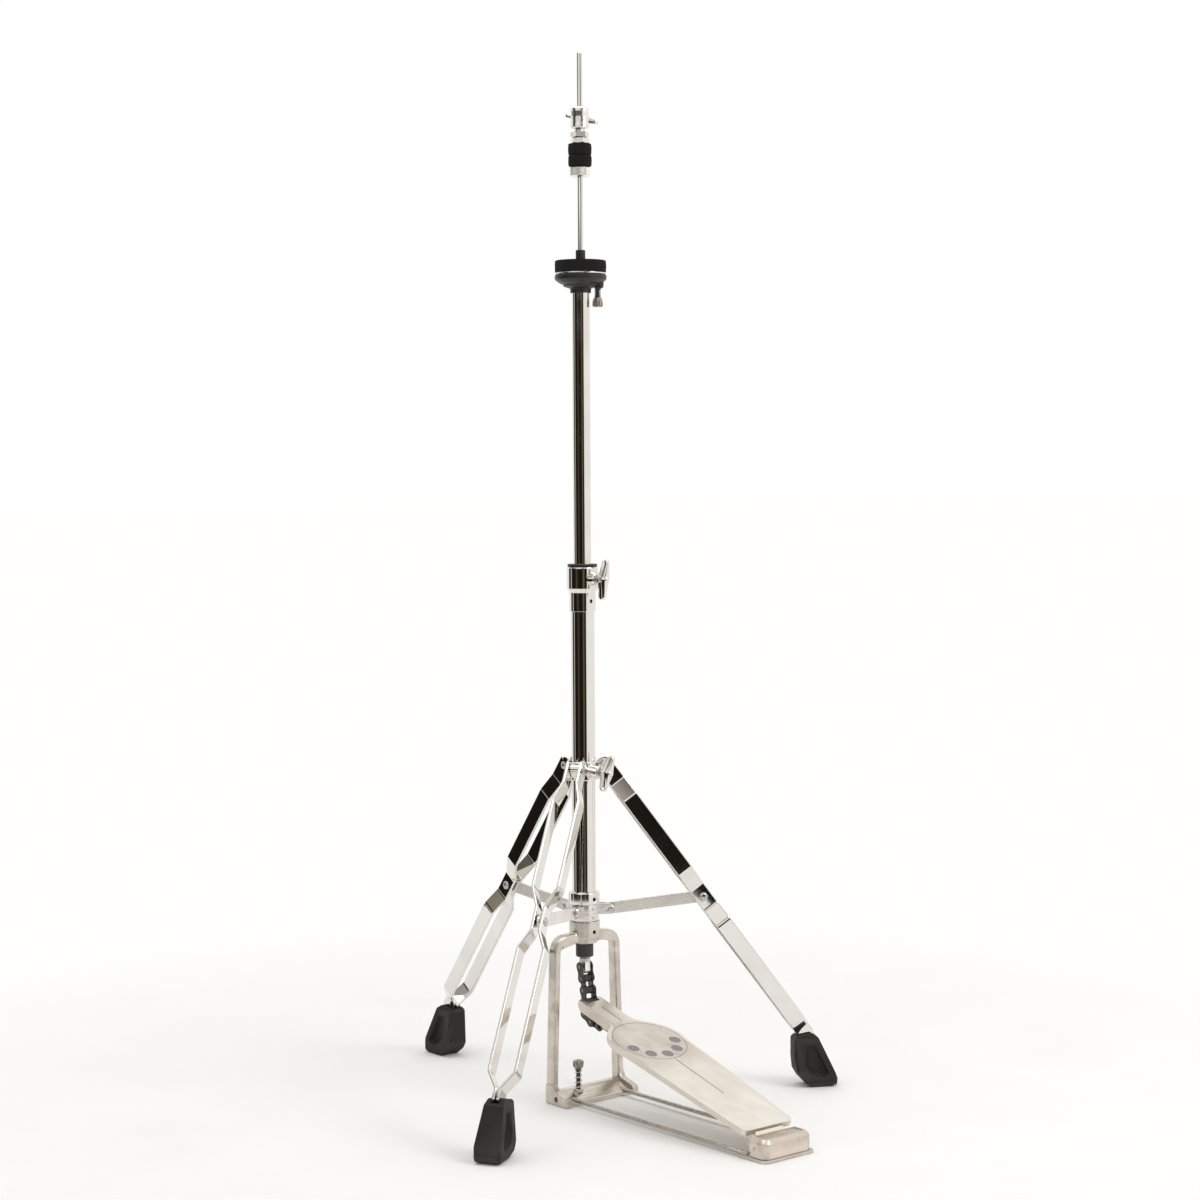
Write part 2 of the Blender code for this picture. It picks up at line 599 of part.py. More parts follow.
def make_clutch(materials):
    """The clutch that grips the pull rod and carries the top cymbal between two felts."""
    chrome, felt = materials["chrome"], materials["felt"]
    low, high = CLUTCH_BODY
    bore = CLUTCH_BORE
    profile = [(bore, 1.0345), (0.0058, 1.0345), (0.0058, low), (0.0090, low), (0.0098, low + 0.001)]
    profile += [(0.0094, low + 0.007), (0.0098, high - 0.003), (0.0085, high), (bore, high)]
    body = lathe("clutch_body", profile, chrome)
    outward = axes((0, 0, CLUTCH_BOLT_Z), (math.sqrt(0.5), math.sqrt(0.5), 0), (0, 0, 1))
    carve(body, [cylinder("hole", BOLT_RADIUS + GAP, 0.002, 0.02, None, outward)])
    wing = make_wing_bolt("clutch_wing_bolt", chrome, bore, 0.0190, 0.036, 0.0036, outward, math.radians(104))
    tube_profile = [(bore, 0.9830), (0.0054, 0.9830), (0.0054, 1.0342), (bore, 1.0342)]
    tube = lathe("clutch_tube", tube_profile, chrome, None, 16)
    nut_profile = [(0.0058, 1.0143), (0.0093, 1.0143), (0.0100, 1.0150), (0.0100, 1.0195), (0.0092, 1.0202)]
    nut_profile += [(0.0100, 1.0209), (0.0100, 1.0254), (0.0093, 1.0262), (0.0058, 1.0262)]
    nut = lathe("clutch_lock_nuts", nut_profile, chrome)
    upper_felt = ring("clutch_upper_felt", 0.0058, 0.0125, 1.0022, 1.0140, felt, 0.0012)
    lower_felt = ring("clutch_lower_felt", 0.0058, 0.0125, 0.9905, 1.0019, felt, 0.0012)
    pivot("clutch_height", (0, 0, 0), [body, tube, nut, upper_felt, lower_felt])
    pivot("clutch_wing_turn", (0, 0, CLUTCH_BOLT_Z), [wing])
    bottom_low, bottom_high = CLUTCH_NUT
    bottom_profile = [(bore, bottom_low), (0.0098, bottom_low), (0.0106, bottom_low + 0.0008)]
    bottom_profile += [(0.0106, bottom_high - 0.0008), (0.0098, bottom_high), (0.0058, bottom_high)]
    bottom_profile += [(0.0058, 0.9827), (bore, 0.9827)]
    bottom = lathe("clutch_bottom_nut", bottom_profile, chrome)
    pivot("clutch_nut_turn", (0, 0, 0), [bottom])


# ---------------------------------------------------------------- upper tube and bottom cymbal seat


def make_seat(materials):
    """The upper tube with the bottom cymbal's cup, tilting washer, felt and centring sleeve."""
    black = materials["black_plastic"]
    bore, radius = UPPER_TUBE_BORE, UPPER_TUBE_RADIUS
    tube = ring("upper_tube", bore, radius, UPPER_TUBE_BOTTOM, UPPER_TUBE_TOP, materials["chrome"])
    bore = UPPER_TUBE_RADIUS + GAP
    top = CUP_RIM_TOP
    profile = [(bore, 0.8580), (0.0110, 0.8580), (0.0110, 0.8625), (0.0185, 0.8660), (0.0262, 0.8700)]
    profile += [(0.0275, 0.8718), (0.0275, top - 0.0008), (0.0268, top), (0.0082, top), (0.0082, 0.8708)]
    profile += [(0.0045, 0.8708), (0.0045, UPPER_TUBE_TOP + GAP), (bore, UPPER_TUBE_TOP + GAP)]
    cup = lathe("seat_cup", profile, black)
    spot = turn(math.degrees(TILTER_ANGLE)) @ Matrix.Translation((TILTER_R, 0, 0))
    lug = cylinder("lug", 0.0046, 0.8635, 0.8725, None, spot)
    carve(cup, [lug], "UNION")
    carve(cup, [cylinder("hole", 0.0025, 0.85, 0.90, None, spot)])
    sleeve_profile = [(0.0037, 0.8711), (0.0078, 0.8711), (0.0078, 0.8735), (0.0051, 0.8740)]
    sleeve_profile += [(0.0051, SLEEVE_TOP - 0.0008), (0.0045, SLEEVE_TOP), (0.0037, SLEEVE_TOP)]
    sleeve = lathe("seat_sleeve", sleeve_profile, black, None, 20)
    washer = ring("seat_washer", 0.0085, 0.0270, top + GAP, 0.8791, materials["chrome"])
    felt = ring("seat_felt", 0.0068, 0.0273, 0.8794, FELT_TOP, materials["felt"], 0.001)
    screw_profile = [(0, 0.8433), (0.0054, 0.8433), (0.0056, 0.8440), (0.0056, 0.8515), (0.0040, 0.8535)]
    screw_profile += [(0.0022, 0.8540), (0.0022, TILTER_TIP), (0, TILTER_TIP)]
    screw = lathe("tilter_screw", screw_profile, materials["dark_steel"], spot, 12)
    pivot("seat_height", (0, 0, 0), [tube, cup, sleeve])
    rim = turn(math.degrees(TILTER_ANGLE)) @ Vector((-0.0262, 0, top + GAP))
    pivot("seat_tilt", rim, [washer, felt])
    pivot("tilter_turn", spot.translation, [screw])


# ---------------------------------------------------------------- tripod


def leg_frame():
    """X down the leg from its pivot, Y across it, Z out of its upper face, for a leg over +X."""
    down = Vector((math.sin(LEG_TILT), 0, -math.cos(LEG_TILT)))
    out = Vector((math.cos(LEG_TILT), 0, math.sin(LEG_TILT)))
    return axes(LEG_PIVOT, out, down)


def brace_pivot():
    return LEG_PIVOT + Vector((math.sin(LEG_TILT), 0, -math.cos(LEG_TILT))) * BRACE_PIVOT_S


def make_strip(name, sign, material):
    """One of a leg's two bent strips, with its rivet to the brace set in it."""
    half = STRIP_THICKNESS / 2
    path = [Vector((s, sign * offset)) for s, offset in STRIP_STATIONS]
    left, right = [], []
    for i, point in enumerate(path):
        before = path[max(i - 1, 0)]
        after = path[min(i + 1, len(path) - 1)]
        along = (after - before).normalized()
        side = Vector((-along.y, along.x)) * half
        left.append(point + side)
        right.append(point - side)
    outline = [tuple(point) for point in left + right[::-1]]
    strip = prism(name, outline, -STRIP_HALF_WIDTH - 0.001, STRIP_HALF_WIDTH + 0.001, material, leg_frame())
    flat_outline = stadium((0, 0), (STRIP_STATIONS[-1][0] - 0.001, 0), STRIP_HALF_WIDTH)
    face_on = leg_frame() @ axes((0, 0, 0), (0, -1, 0), (1, 0, 0))
    carve(strip, [prism("flat", flat_outline, -0.02, 0.02, None, face_on)], "INTERSECT")
    cross = leg_frame() @ axes((BRACE_PIVOT_S, 0, 0), (0, 1, 0), (1, 0, 0))
    ends = sorted((sign * (BRACE_HALF_THICKNESS + GAP), sign * (PINCH_OFFSET + half + 0.0016)))
    carve(strip, [cylinder("rivet", 0.0036, ends[0], ends[1], None, cross, 10)], "UNION")
    pin_axis = leg_frame() @ axes((0, 0, 0), (0, 1, 0), (1, 0, 0))
    return carve(strip, [cylinder("hole", LEG_PIN + GAP, -0.02, 0.02, None, pin_axis)])


def shoe_loop(z, inner, outer, half_wide, corner):
    """One level of a foot: a rectangle with cut corners."""
    points = []
    for a, b in ((1, 1), (-1, 1), (-1, -1), (1, -1)):
        edge = outer if a > 0 else inner
        ends = [(edge, b * (half_wide - corner)), (edge - a * corner, b * half_wide)]
        if a * b < 0:
            ends.reverse()
        points += [(x, y, z) for x, y in ends]
    return points


def make_shoe(material):
    """A leg's rubber foot, a tapered block that leans in at the top, with a slot for the two strips."""
    loops = [
        shoe_loop(0.0, 0.2460, 0.2700, 0.0110, 0.003),
        shoe_loop(0.0085, 0.2375, 0.2770, 0.0144, 0.0035),
        shoe_loop(0.0185, 0.2306, 0.2725, 0.0142, 0.0035),
        shoe_loop(0.0520, 0.2292, 0.2565, 0.0110, 0.003),
        shoe_loop(0.0580, 0.2345, 0.2525, 0.0096, 0.002),
    ]
    shoe = loft("foot", loops, material)
    reach = FOOT_OFFSET + STRIP_THICKNESS / 2 + GAP
    wide = STRIP_HALF_WIDTH + GAP
    end = STRIP_END + GAP
    slot_outline = [(0.340, -reach), (end, -reach), (end, reach), (0.340, reach)]
    slot = prism("slot", slot_outline, -wide, wide, None, leg_frame())
    return carve(shoe, [slot])


def make_brace(material):
    """The flat bar from the hub to the middle of a leg, which swings between the leg's strips."""
    upright = axes((0, 0, 0), (0, -1, 0), (1, 0, 0))
    start = (HUB_PIVOT.x, HUB_PIVOT.z)
    end = (brace_pivot().x, brace_pivot().z)
    outline = stadium(start, end, BRACE_HALF_HEIGHT, 6)
    brace = prism("brace", outline, -BRACE_HALF_THICKNESS, BRACE_HALF_THICKNESS, material, upright)
    hole = cylinder("hole", HUB_PIN + GAP, -0.02, 0.02, None, axes(HUB_PIVOT, (0, 1, 0), (1, 0, 0)))
    return carve(brace, [hole])


def make_brace_hub(material):
    """The swivelling hub of the braces, with a clevis for each."""
    low, high = BRACE_HUB
    hub = ring("brace_hub", LOWER_TUBE_RADIUS + GAP, 0.0158, low, high, material)
    upright = axes((0, 0, 0), (0, -1, 0), (1, 0, 0))
    outline = [(0.0150, high - 0.0008), (0.0150, low + 0.0030)]
    outline += arc((HUB_PIVOT.x, HUB_PIVOT.z), 0.0050, -90, 60, 5)
    cheeks, holes = [], []
    for angle in LEG_ANGLES.values():
        for low_y, high_y in ((-0.0052, -0.0020), (0.0020, 0.0052)):
            cheeks.append(prism("cheek", outline, low_y, high_y, None, turn(angle) @ upright))
        across = turn(angle) @ axes(HUB_PIVOT, (0, 1, 0), (1, 0, 0))
        holes.append(cylinder("hole", HUB_PIN + GAP, -0.01, 0.01, None, across))
    carve(hub, cheeks, "UNION")
    return carve(hub, holes)


def make_leg_collar(material, forward):
    """The sliding collar that the legs hang on, with a lug for each and a boss for its wing bolt."""
    low, high = LEG_COLLAR
    collar = ring("leg_collar", LOWER_TUBE_RADIUS + GAP, 0.0148, low, high, material, 0.0008)
    upright = axes((0, 0, 0), (0, -1, 0), (1, 0, 0))
    outline = [(0.0138, high - 0.001), (0.0138, low + 0.002), (0.0215, low + 0.0045)]
    outline += arc((LEG_PIVOT.x, LEG_PIVOT.z), 0.0052, -60, 90, 5)
    lugs, holes = [], []
    for angle in LEG_ANGLES.values():
        lugs.append(prism("lug", outline, -0.0055, 0.0055, None, turn(angle) @ upright))
        across = turn(angle) @ axes(LEG_PIVOT, (0, 1, 0), (1, 0, 0))
        holes.append(cylinder("hole", LEG_PIN + GAP, -0.01, 0.01, None, across))
    lugs.append(cylinder("boss", 0.0070, 0.0138, 0.0285, None, forward, 16))
    holes.append(cylinder("hole", BOLT_RADIUS + GAP, 0.005, 0.04, None, forward))
    carve(collar, lugs, "UNION")
    return carve(collar, holes)


def make_tripod(materials):
    """The folding tripod: a hub that swivels on the tube, a collar that slides, legs and braces."""
    chrome, satin, rubber = materials["chrome"], materials["satin"], materials["rubber"]
    bolt_z = sum(LEG_COLLAR) / 2
    forward = axes((0, 0, bolt_z), (0, -1, 0), (1, 0, 0))
    collar = make_leg_collar(chrome, forward)
    wing = make_wing_bolt(
        "leg_wing_bolt", chrome, LOWER_TUBE_RADIUS + 0.0004, 0.0375, 0.039, 0.0052, forward, math.radians(72)
    )
    hub = make_brace_hub(satin)
    masters = {
        "left_strip": make_strip("strip", 1, chrome),
        "right_strip": make_strip("strip", -1, chrome),
        "foot": make_shoe(rubber),
    }
    brace = make_brace(satin)
    leg_pin = cylinder("pin", LEG_PIN, -0.0098, 0.0098, chrome, axes(LEG_PIVOT, (0, 1, 0), (1, 0, 0)), 10)
    hub_pin = cylinder("pin", HUB_PIN, -0.0062, 0.0062, chrome, axes(HUB_PIVOT, (0, 1, 0), (1, 0, 0)), 10)
    collar_pieces, hub_pieces = [collar], [hub]
    for letter, angle in LEG_ANGLES.items():
        leg = []
        for piece, master in masters.items():
            leg.append(copy_turned(master, f"leg_{letter}_{piece}", angle))
        collar_pieces.append(copy_turned(leg_pin, f"leg_{letter}_pin", angle))
        hub_pieces.append(copy_turned(hub_pin, f"brace_{letter}_pin", angle))
        pivot(f"leg_{letter}_fold", turn(angle) @ LEG_PIVOT, leg)
        pivot(f"brace_{letter}_fold", turn(angle) @ HUB_PIVOT, [copy_turned(brace, f"brace_{letter}", angle)])
    for master in list(masters.values()) + [brace, leg_pin, hub_pin]:
        bpy.data.objects.remove(master)
    pivot("tripod_fold", (0, 0, 0), collar_pieces)
    pivot("tripod_swivel", (0, 0, 0), hub_pieces)
    pivot("leg_wing_turn", (0, 0, bolt_z), [wing])


def main():
    clear_scene()
    materials = {
        "chrome": make_material("chrome", (0.80, 0.79, 0.77), 0.08, 1.0),
        "satin": make_material("satin_steel", (0.70, 0.69, 0.67), 0.35, 1.0),
        "cast": make_material("cast_aluminium", (0.66, 0.64, 0.61), 0.42, 1.0),
        "zinc": make_material("zinc_plate", (0.62, 0.61, 0.58), 0.30, 1.0),
        "dark_steel": make_material("dark_steel", (0.16, 0.15, 0.13), 0.40, 1.0),
        "chain": make_material("black_chain", (0.035, 0.033, 0.030), 0.35, 0.8),
        "rubber": make_material("black_rubber", (0.030, 0.028, 0.026), 0.70, 0.0),
        "black_plastic": make_material("black_plastic", (0.035, 0.033, 0.032), 0.45, 0.0),
        "felt": make_material("black_felt", (0.020, 0.019, 0.018), 0.95, 0.0),
    }
    make_base(materials)
    make_height_collar(materials)
    board = make_footboard(materials["cast"])
    clamp = make_toe_clamp(materials["zinc"])
    toe_chain = make_chain(materials["chain"])
    pivot("pedal_press", (0, HINGE_Y, HINGE_Z), [board, clamp, toe_chain])
    make_pull_rod(materials)
    make_clutch(materials)
    make_seat(materials)
    make_tripod(materials)


main()
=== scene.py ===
"""The hi-hat stand's looks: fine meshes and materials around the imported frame.

Metres, in the frame's axes: +Z up the tubes, -Y towards the heel, origin on the tube axis.
"""

import json
import math

import bmesh
import bpy
from mathutils import Matrix, Vector


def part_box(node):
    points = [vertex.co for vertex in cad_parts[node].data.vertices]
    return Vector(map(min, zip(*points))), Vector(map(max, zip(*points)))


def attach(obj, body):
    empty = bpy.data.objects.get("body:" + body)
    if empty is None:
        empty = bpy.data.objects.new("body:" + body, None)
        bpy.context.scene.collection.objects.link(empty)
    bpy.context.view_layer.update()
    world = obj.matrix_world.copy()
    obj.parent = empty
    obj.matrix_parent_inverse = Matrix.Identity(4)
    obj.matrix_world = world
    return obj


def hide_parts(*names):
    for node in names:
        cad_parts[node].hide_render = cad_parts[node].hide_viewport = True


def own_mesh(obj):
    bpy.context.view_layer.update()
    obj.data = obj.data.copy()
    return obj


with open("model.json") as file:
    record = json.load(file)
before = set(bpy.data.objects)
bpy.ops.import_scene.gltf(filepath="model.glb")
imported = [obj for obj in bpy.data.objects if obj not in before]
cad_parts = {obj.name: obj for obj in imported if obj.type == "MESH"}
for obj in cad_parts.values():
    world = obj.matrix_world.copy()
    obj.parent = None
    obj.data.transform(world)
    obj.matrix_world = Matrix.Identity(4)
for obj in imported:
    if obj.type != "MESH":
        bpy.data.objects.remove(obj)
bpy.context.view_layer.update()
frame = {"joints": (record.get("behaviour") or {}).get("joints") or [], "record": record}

BODIES = frame["record"]["behaviour"]["bodies"]
BODY_OF = {node: body for body, nodes in BODIES.items() for node in nodes}
JOINTS = {joint["name"]: joint for joint in frame["joints"]}

FORWARD = (0, -1, 0)
LEG_ANGLES = {"a": -150, "b": 90, "c": -30}


# ---------------------------------------------------------------- shapes


def extent(node):
    """A node's lowest and highest corner."""
    low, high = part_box(node)
    return low, high


def turned(node):
    """(radius, bottom, top) of a turned node on the tube axis."""
    low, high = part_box(node)
    return high.x, low.z, high.z


def axes(origin, along, side):
    """A frame at origin whose Z is `along` and whose X is near `side`."""
    z = Vector(along).normalized()
    y = z.cross(Vector(side)).normalized()
    x = y.cross(z)
    return Matrix.Translation(Vector(origin)) @ Matrix((x, y, z)).transposed().to_4x4()


def turn(angle):
    return Matrix.Rotation(math.radians(angle), 4, "Z")


def fillet(points, radius, closed=True, steps=4):
    """Rounds the corners of a polygon. A third number in a point is that corner's own radius."""
    out = []
    count = len(points)
    for i, point in enumerate(points):
        here = Vector(point[:2])
        corner = point[2] if len(point) > 2 else radius
        if corner <= 0 or (not closed and i in (0, count - 1)):
            out.append(tuple(here))
            continue
        back = Vector(points[i - 1][:2]) - here
        ahead = Vector(points[(i + 1) % count][:2]) - here
        opening = back.angle(ahead)
        if opening > math.pi - 0.03:
            out.append(tuple(here))
            continue
        half = math.tan(opening / 2)
        reach = min(corner / half, 0.48 * back.length, 0.48 * ahead.length)
        start = back.normalized() * reach
        end = ahead.normalized() * reach
        middle = (start + end).normalized() * (reach / math.cos(opening / 2))
        first = math.atan2(*(start - middle).yx)
        sweep_angle = math.atan2(*(end - middle).yx) - first
        sweep_angle = (sweep_angle + math.pi) % (2 * math.pi) - math.pi
        for k in range(steps + 1):
            angle = first + sweep_angle * k / steps
            offset = Vector((math.cos(angle), math.sin(angle))) * (reach * half)
            out.append(tuple(here + middle + offset))
    return out


def arc(centre, radius, start, end, steps):
    """Points on an arc, in degrees, both ends included."""
    points = []
    for i in range(steps + 1):
        angle = math.radians(start + (end - start) * i / steps)
        points.append((centre[0] + radius * math.cos(angle), centre[1] + radius * math.sin(angle)))
    return points


def finish(name, bm, material, place=None, sharp=40):
    """Makes an object of the bmesh, with its place taken into its mesh."""
    bmesh.ops.recalc_face_normals(bm, faces=bm.faces)
    mesh = bpy.data.meshes.new(name)
    bm.to_mesh(mesh)
    bm.free()
    if place:
        mesh.transform(place)
    mesh.shade_smooth()
    mesh.set_sharp_from_angle(angle=math.radians(sharp))
    if material:
        mesh.materials.append(material)
    made = bpy.data.objects.new(name, mesh)
    bpy.context.scene.collection.objects.link(made)
    return made


def skin(bm, rows, closed=False):
    """Faces between rows of vertices. A row of one vertex is a pole."""
    pairs = list(zip(rows, rows[1:]))
    if closed:
        pairs.append((rows[-1], rows[0]))
    for low, high in pairs:
        for i in range(max(len(low), len(high))):
            j = i + 1
            corners = [low[i % len(low)], low[j % len(low)], high[j % len(high)], high[i % len(high)]]
            unique = list(dict.fromkeys(corners))
            if len(unique) > 2:
                bm.faces.new(unique)


def lathe(name, profile, material, place=None, segments=96, corner=0.0003, steps=3, ripple=None):
    """Turns a profile of (radius, z) about Z. It closes on itself, or on the axis."""
    closed = profile[0][0] > 0 or profile[-1][0] > 0
    bm = bmesh.new()
    rows = []
    for radius, z in fillet(profile, corner, closed, steps):
        if radius < 1e-7:
            rows.append([bm.verts.new((0, 0, z))])
            continue
        row = []
        for k in range(segments):
            angle = 2 * math.pi * k / segments
            reach = radius + (ripple(radius, z, angle) if ripple else 0.0)
            row.append(bm.verts.new((reach * math.cos(angle), reach * math.sin(angle), z)))
        rows.append(row)
    skin(bm, rows, closed)
    return finish(name, bm, material, place)


def prism(name, outline, low, high, material, place=None):
    """Extrudes a flat outline from low to high along Z."""
    bm = bmesh.new()
    face = bm.faces.new([bm.verts.new((point[0], point[1], low)) for point in outline])
    made = bmesh.ops.extrude_face_region(bm, geom=[face])["geom"]
    moved = [item for item in made if isinstance(item, bmesh.types.BMVert)]
    bmesh.ops.translate(bm, vec=(0, 0, high - low), verts=moved)
    return finish(name, bm, material, place)


def loft(name, loops, material, place=None, sharp=40):
    """Joins loops of points and caps both ends."""
    bm = bmesh.new()
    rows = [[bm.verts.new(point) for point in loop] for loop in loops]
    skin(bm, rows)
    bm.faces.new(rows[0])
    bm.faces.new(rows[-1])
    return finish(name, bm, material, place, sharp)


def sweep(name, path, section, material, place=None, closed=False):
    """Carries a section of (across, z) points along a path in the XY plane."""
    points = [Vector(point) for point in path]
    loops = []
    for i, here in enumerate(points):
        back = points[i - 1] if i or closed else here
        ahead = points[(i + 1) % len(points)] if i < len(points) - 1 or closed else here
        before = (here - back).normalized() if here != back else (ahead - here).normalized()
        after = (ahead - here).normalized() if ahead != here else before
        along = (before + after).normalized()
        side = Vector((-along.y, along.x)) / max(0.5, along.dot(after))
        loops.append([(here.x + side.x * a, here.y + side.y * a, z) for a, z in section])
    if not closed:
        return loft(name, loops, material, place)
    bm = bmesh.new()
    skin(bm, [[bm.verts.new(point) for point in loop] for loop in loops], True)
    return finish(name, bm, material, place)


def coil(name, radius, wire, low, high, turns, material, place=None, per_turn=28, sides=10, flat_ends=True):
    """A coil spring of round wire, whose last half turns lie nearly flat."""
    count = int(turns * per_turn)
    loops = []
    for i in range(count + 1):
        t = i / count
        eased = t
        if flat_ends:
            edge = 0.6 / turns
            eased = min(max((t - edge) / (1 - 2 * edge), 0.0), 1.0) * 0.88 + 0.12 * t
        angle = 2 * math.pi * turns * t
        z = low + wire + (high - low - 2 * wire) * eased
        out = Vector((math.cos(angle), math.sin(angle), 0))
        loop = []
        for k in range(sides):
            around = 2 * math.pi * k / sides
            loop.append(
                out * (radius + wire * math.cos(around)) + Vector((0, 0, z + wire * math.sin(around)))
            )
        loops.append(loop)
    return loft(name, loops, material, place)


def applied(piece):
    """Takes a piece's modifiers into its mesh."""
    bpy.context.view_layer.update()
    graph = bpy.context.evaluated_depsgraph_get()
    mesh = bpy.data.meshes.new_from_object(piece.evaluated_get(graph))
    piece.modifiers.clear()
    piece.data = mesh
    return piece


def carve(piece, tools, operation="DIFFERENCE"):
    """Exact Booleans of the tools on the piece. The tools are removed."""
    for tool in tools:
        modifier = piece.modifiers.new("cut", "BOOLEAN")
        modifier.operation = operation
        modifier.solver = "EXACT"
        modifier.object = tool
        modifier.material_mode = "TRANSFER"
    applied(piece)
    for tool in tools:
        bpy.data.objects.remove(tool)
    return piece


def soften(piece, width, segments=3, angle=32):
    """Rounds the piece's sharp edges."""
    bevel = piece.modifiers.new("soften", "BEVEL")
    bevel.width = width
    bevel.segments = segments
    bevel.limit_method = "ANGLE"
    bevel.angle_limit = math.radians(angle)
    bevel.harden_normals = True
    return applied(piece)


def melt(piece, voxel, passes, factor=0.5):
    """Blends a piece's joins as a casting's are, on an even mesh."""
    remesh = piece.modifiers.new("even", "REMESH")
    remesh.mode = "VOXEL"
    remesh.voxel_size = voxel
    remesh.use_smooth_shade = True
    smooth = piece.modifiers.new("smooth", "SMOOTH")
    smooth.factor = factor
    smooth.iterations = passes
    applied(piece)
    piece.data.shade_smooth()
    return piece


def joined(name, pieces):
    """Several meshes as one object."""
    bm = bmesh.new()
    materials = []
    for piece in pieces:
        offset = len(materials)
        start = len(bm.faces)
        materials.extend(piece.data.materials)
        bm.from_mesh(piece.data)
        bm.faces.ensure_lookup_table()
        for face in bm.faces[start:]:
            face.material_index += offset
    mesh = bpy.data.meshes.new(name)
    bm.to_mesh(mesh)
    bm.free()
    for material in materials:
        mesh.materials.append(material)
    for piece in pieces:
        bpy.data.objects.remove(piece)
    made = bpy.data.objects.new(name, mesh)
    bpy.context.scene.collection.objects.link(made)
    return made


def copied(piece, name, place):
    """A copy of the piece with its place taken into its mesh."""
    made = bpy.data.objects.new(name, piece.data.copy())
    made.data.transform(place)
    bpy.context.scene.collection.objects.link(made)
    return made


def even_normals(piece):
    """Keeps flat faces flat-looking beside their rounded edges."""
    modifier = piece.modifiers.new("normals", "WEIGHTED_NORMAL")
    modifier.keep_sharp = True
    modifier.weight = 80
    return applied(piece)


def stand_for(piece, *nodes):
    """The piece rides with its CAD nodes and replaces them."""
    even_normals(piece)
    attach(piece, BODY_OF[nodes[0]])
    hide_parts(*nodes)
    return piece


def trim(piece, node):
    """A small piece that rides with a node and stands for none."""
    even_normals(piece)
    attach(piece, BODY_OF[node])
    return piece


# ---------------------------------------------------------------- materials


def blank(name, metallic, roughness):
    made = bpy.data.materials.new(name)
    made.use_nodes = True
    shader = made.node_tree.nodes["Principled BSDF"]
    shader.inputs["Metallic"].default_value = metallic
    shader.inputs["Roughness"].default_value = roughness
    return made, made.node_tree, shader


def noise(tree, scale, detail=3.0, stretch=(1, 1, 1), distortion=0.0):
    """A noise value whose scale is in cycles per metre."""
    place = tree.nodes.new("ShaderNodeTexCoord")
    mapping = tree.nodes.new("ShaderNodeMapping")
    mapping.inputs["Scale"].default_value = stretch
    texture = tree.nodes.new("ShaderNodeTexNoise")
    texture.inputs["Scale"].default_value = scale
    texture.inputs["Detail"].default_value = detail
    texture.inputs["Distortion"].default_value = distortion
    tree.links.new(place.outputs["Object"], mapping.inputs["Vector"])
    tree.links.new(mapping.outputs["Vector"], texture.inputs["Vector"])
    return texture.outputs["Fac"]


def spread(tree, value, low, high, start=0.35, end=0.65):
    """Maps the middle of a noise value's range to low..high."""
    node = tree.nodes.new("ShaderNodeMapRange")
    node.inputs["From Min"].default_value = start
    node.inputs["From Max"].default_value = end
    node.inputs["To Min"].default_value = low
    node.inputs["To Max"].default_value = high
    tree.links.new(value, node.inputs["Value"])
    return node.outputs["Result"]


def tint(tree, factor, first, second):
    """A colour between two, by a value."""
    node = tree.nodes.new("ShaderNodeMix")
    node.data_type = "RGBA"
    for socket, colour in zip((6, 7), (first, second)):
        if isinstance(colour, tuple):
            node.inputs[socket].default_value = (*colour, 1.0)
        else:
            tree.links.new(colour, node.inputs[socket])
    tree.links.new(factor, node.inputs[0])
    return node.outputs[2]


def bump(tree, shader, height, strength, distance, under=None):
    node = tree.nodes.new("ShaderNodeBump")
    node.inputs["Strength"].default_value = strength
    node.inputs["Distance"].default_value = distance
    tree.links.new(height, node.inputs["Height"])
    if under:
        tree.links.new(under, node.inputs["Normal"])
    tree.links.new(node.outputs["Normal"], shader.inputs["Normal"])
    return node.outputs["Normal"]


def edges(tree, low=0.52, high=0.60):
    """Rises towards 1 along outer edges."""
    geometry = tree.nodes.new("ShaderNodeNewGeometry")
    return spread(tree, geometry.outputs["Pointiness"], 0.0, 1.0, low, high)


def chrome_plate(name="chrome_plate", tone=(0.80, 0.775, 0.735), haze=0.0):
    """Mirror chrome with faint haze, finger smears and hairline scratches."""
    made, tree, shader = blank(name, 1.0, 0.06)
    cloud = noise(tree, 22, 4.0, distortion=0.6)
    hair = noise(tree, 900, 2.0, (1, 1, 0.06))
    shade = tuple(0.93 * c for c in tone)
    colour = tint(tree, spread(tree, cloud, 0.0, 1.0), tone, shade)
    tree.links.new(colour, shader.inputs["Base Color"])
    tree.links.new(spread(tree, cloud, 0.035 + haze, 0.10 + haze, 0.40, 0.75), shader.inputs["Roughness"])
    bump(tree, shader, hair, 0.05, 0.00004)
    return made


def satin_steel(name, light, dark, stretch, rough=(0.26, 0.42)):
    """Brushed plated steel. `stretch` is small along the brushing."""
    made, tree, shader = blank(name, 1.0, 0.32)
    shader.inputs["Anisotropic"].default_value = 0.4
    line = noise(tree, 1600, 2.0, stretch)
    cloud = noise(tree, 35, 4.0, distortion=0.4)
    tree.links.new(tint(tree, spread(tree, cloud, 0.0, 1.0), light, dark), shader.inputs["Base Color"])
    tree.links.new(spread(tree, line, *rough), shader.inputs["Roughness"])
    bump(tree, shader, line, 0.06, 0.00004)
    return made


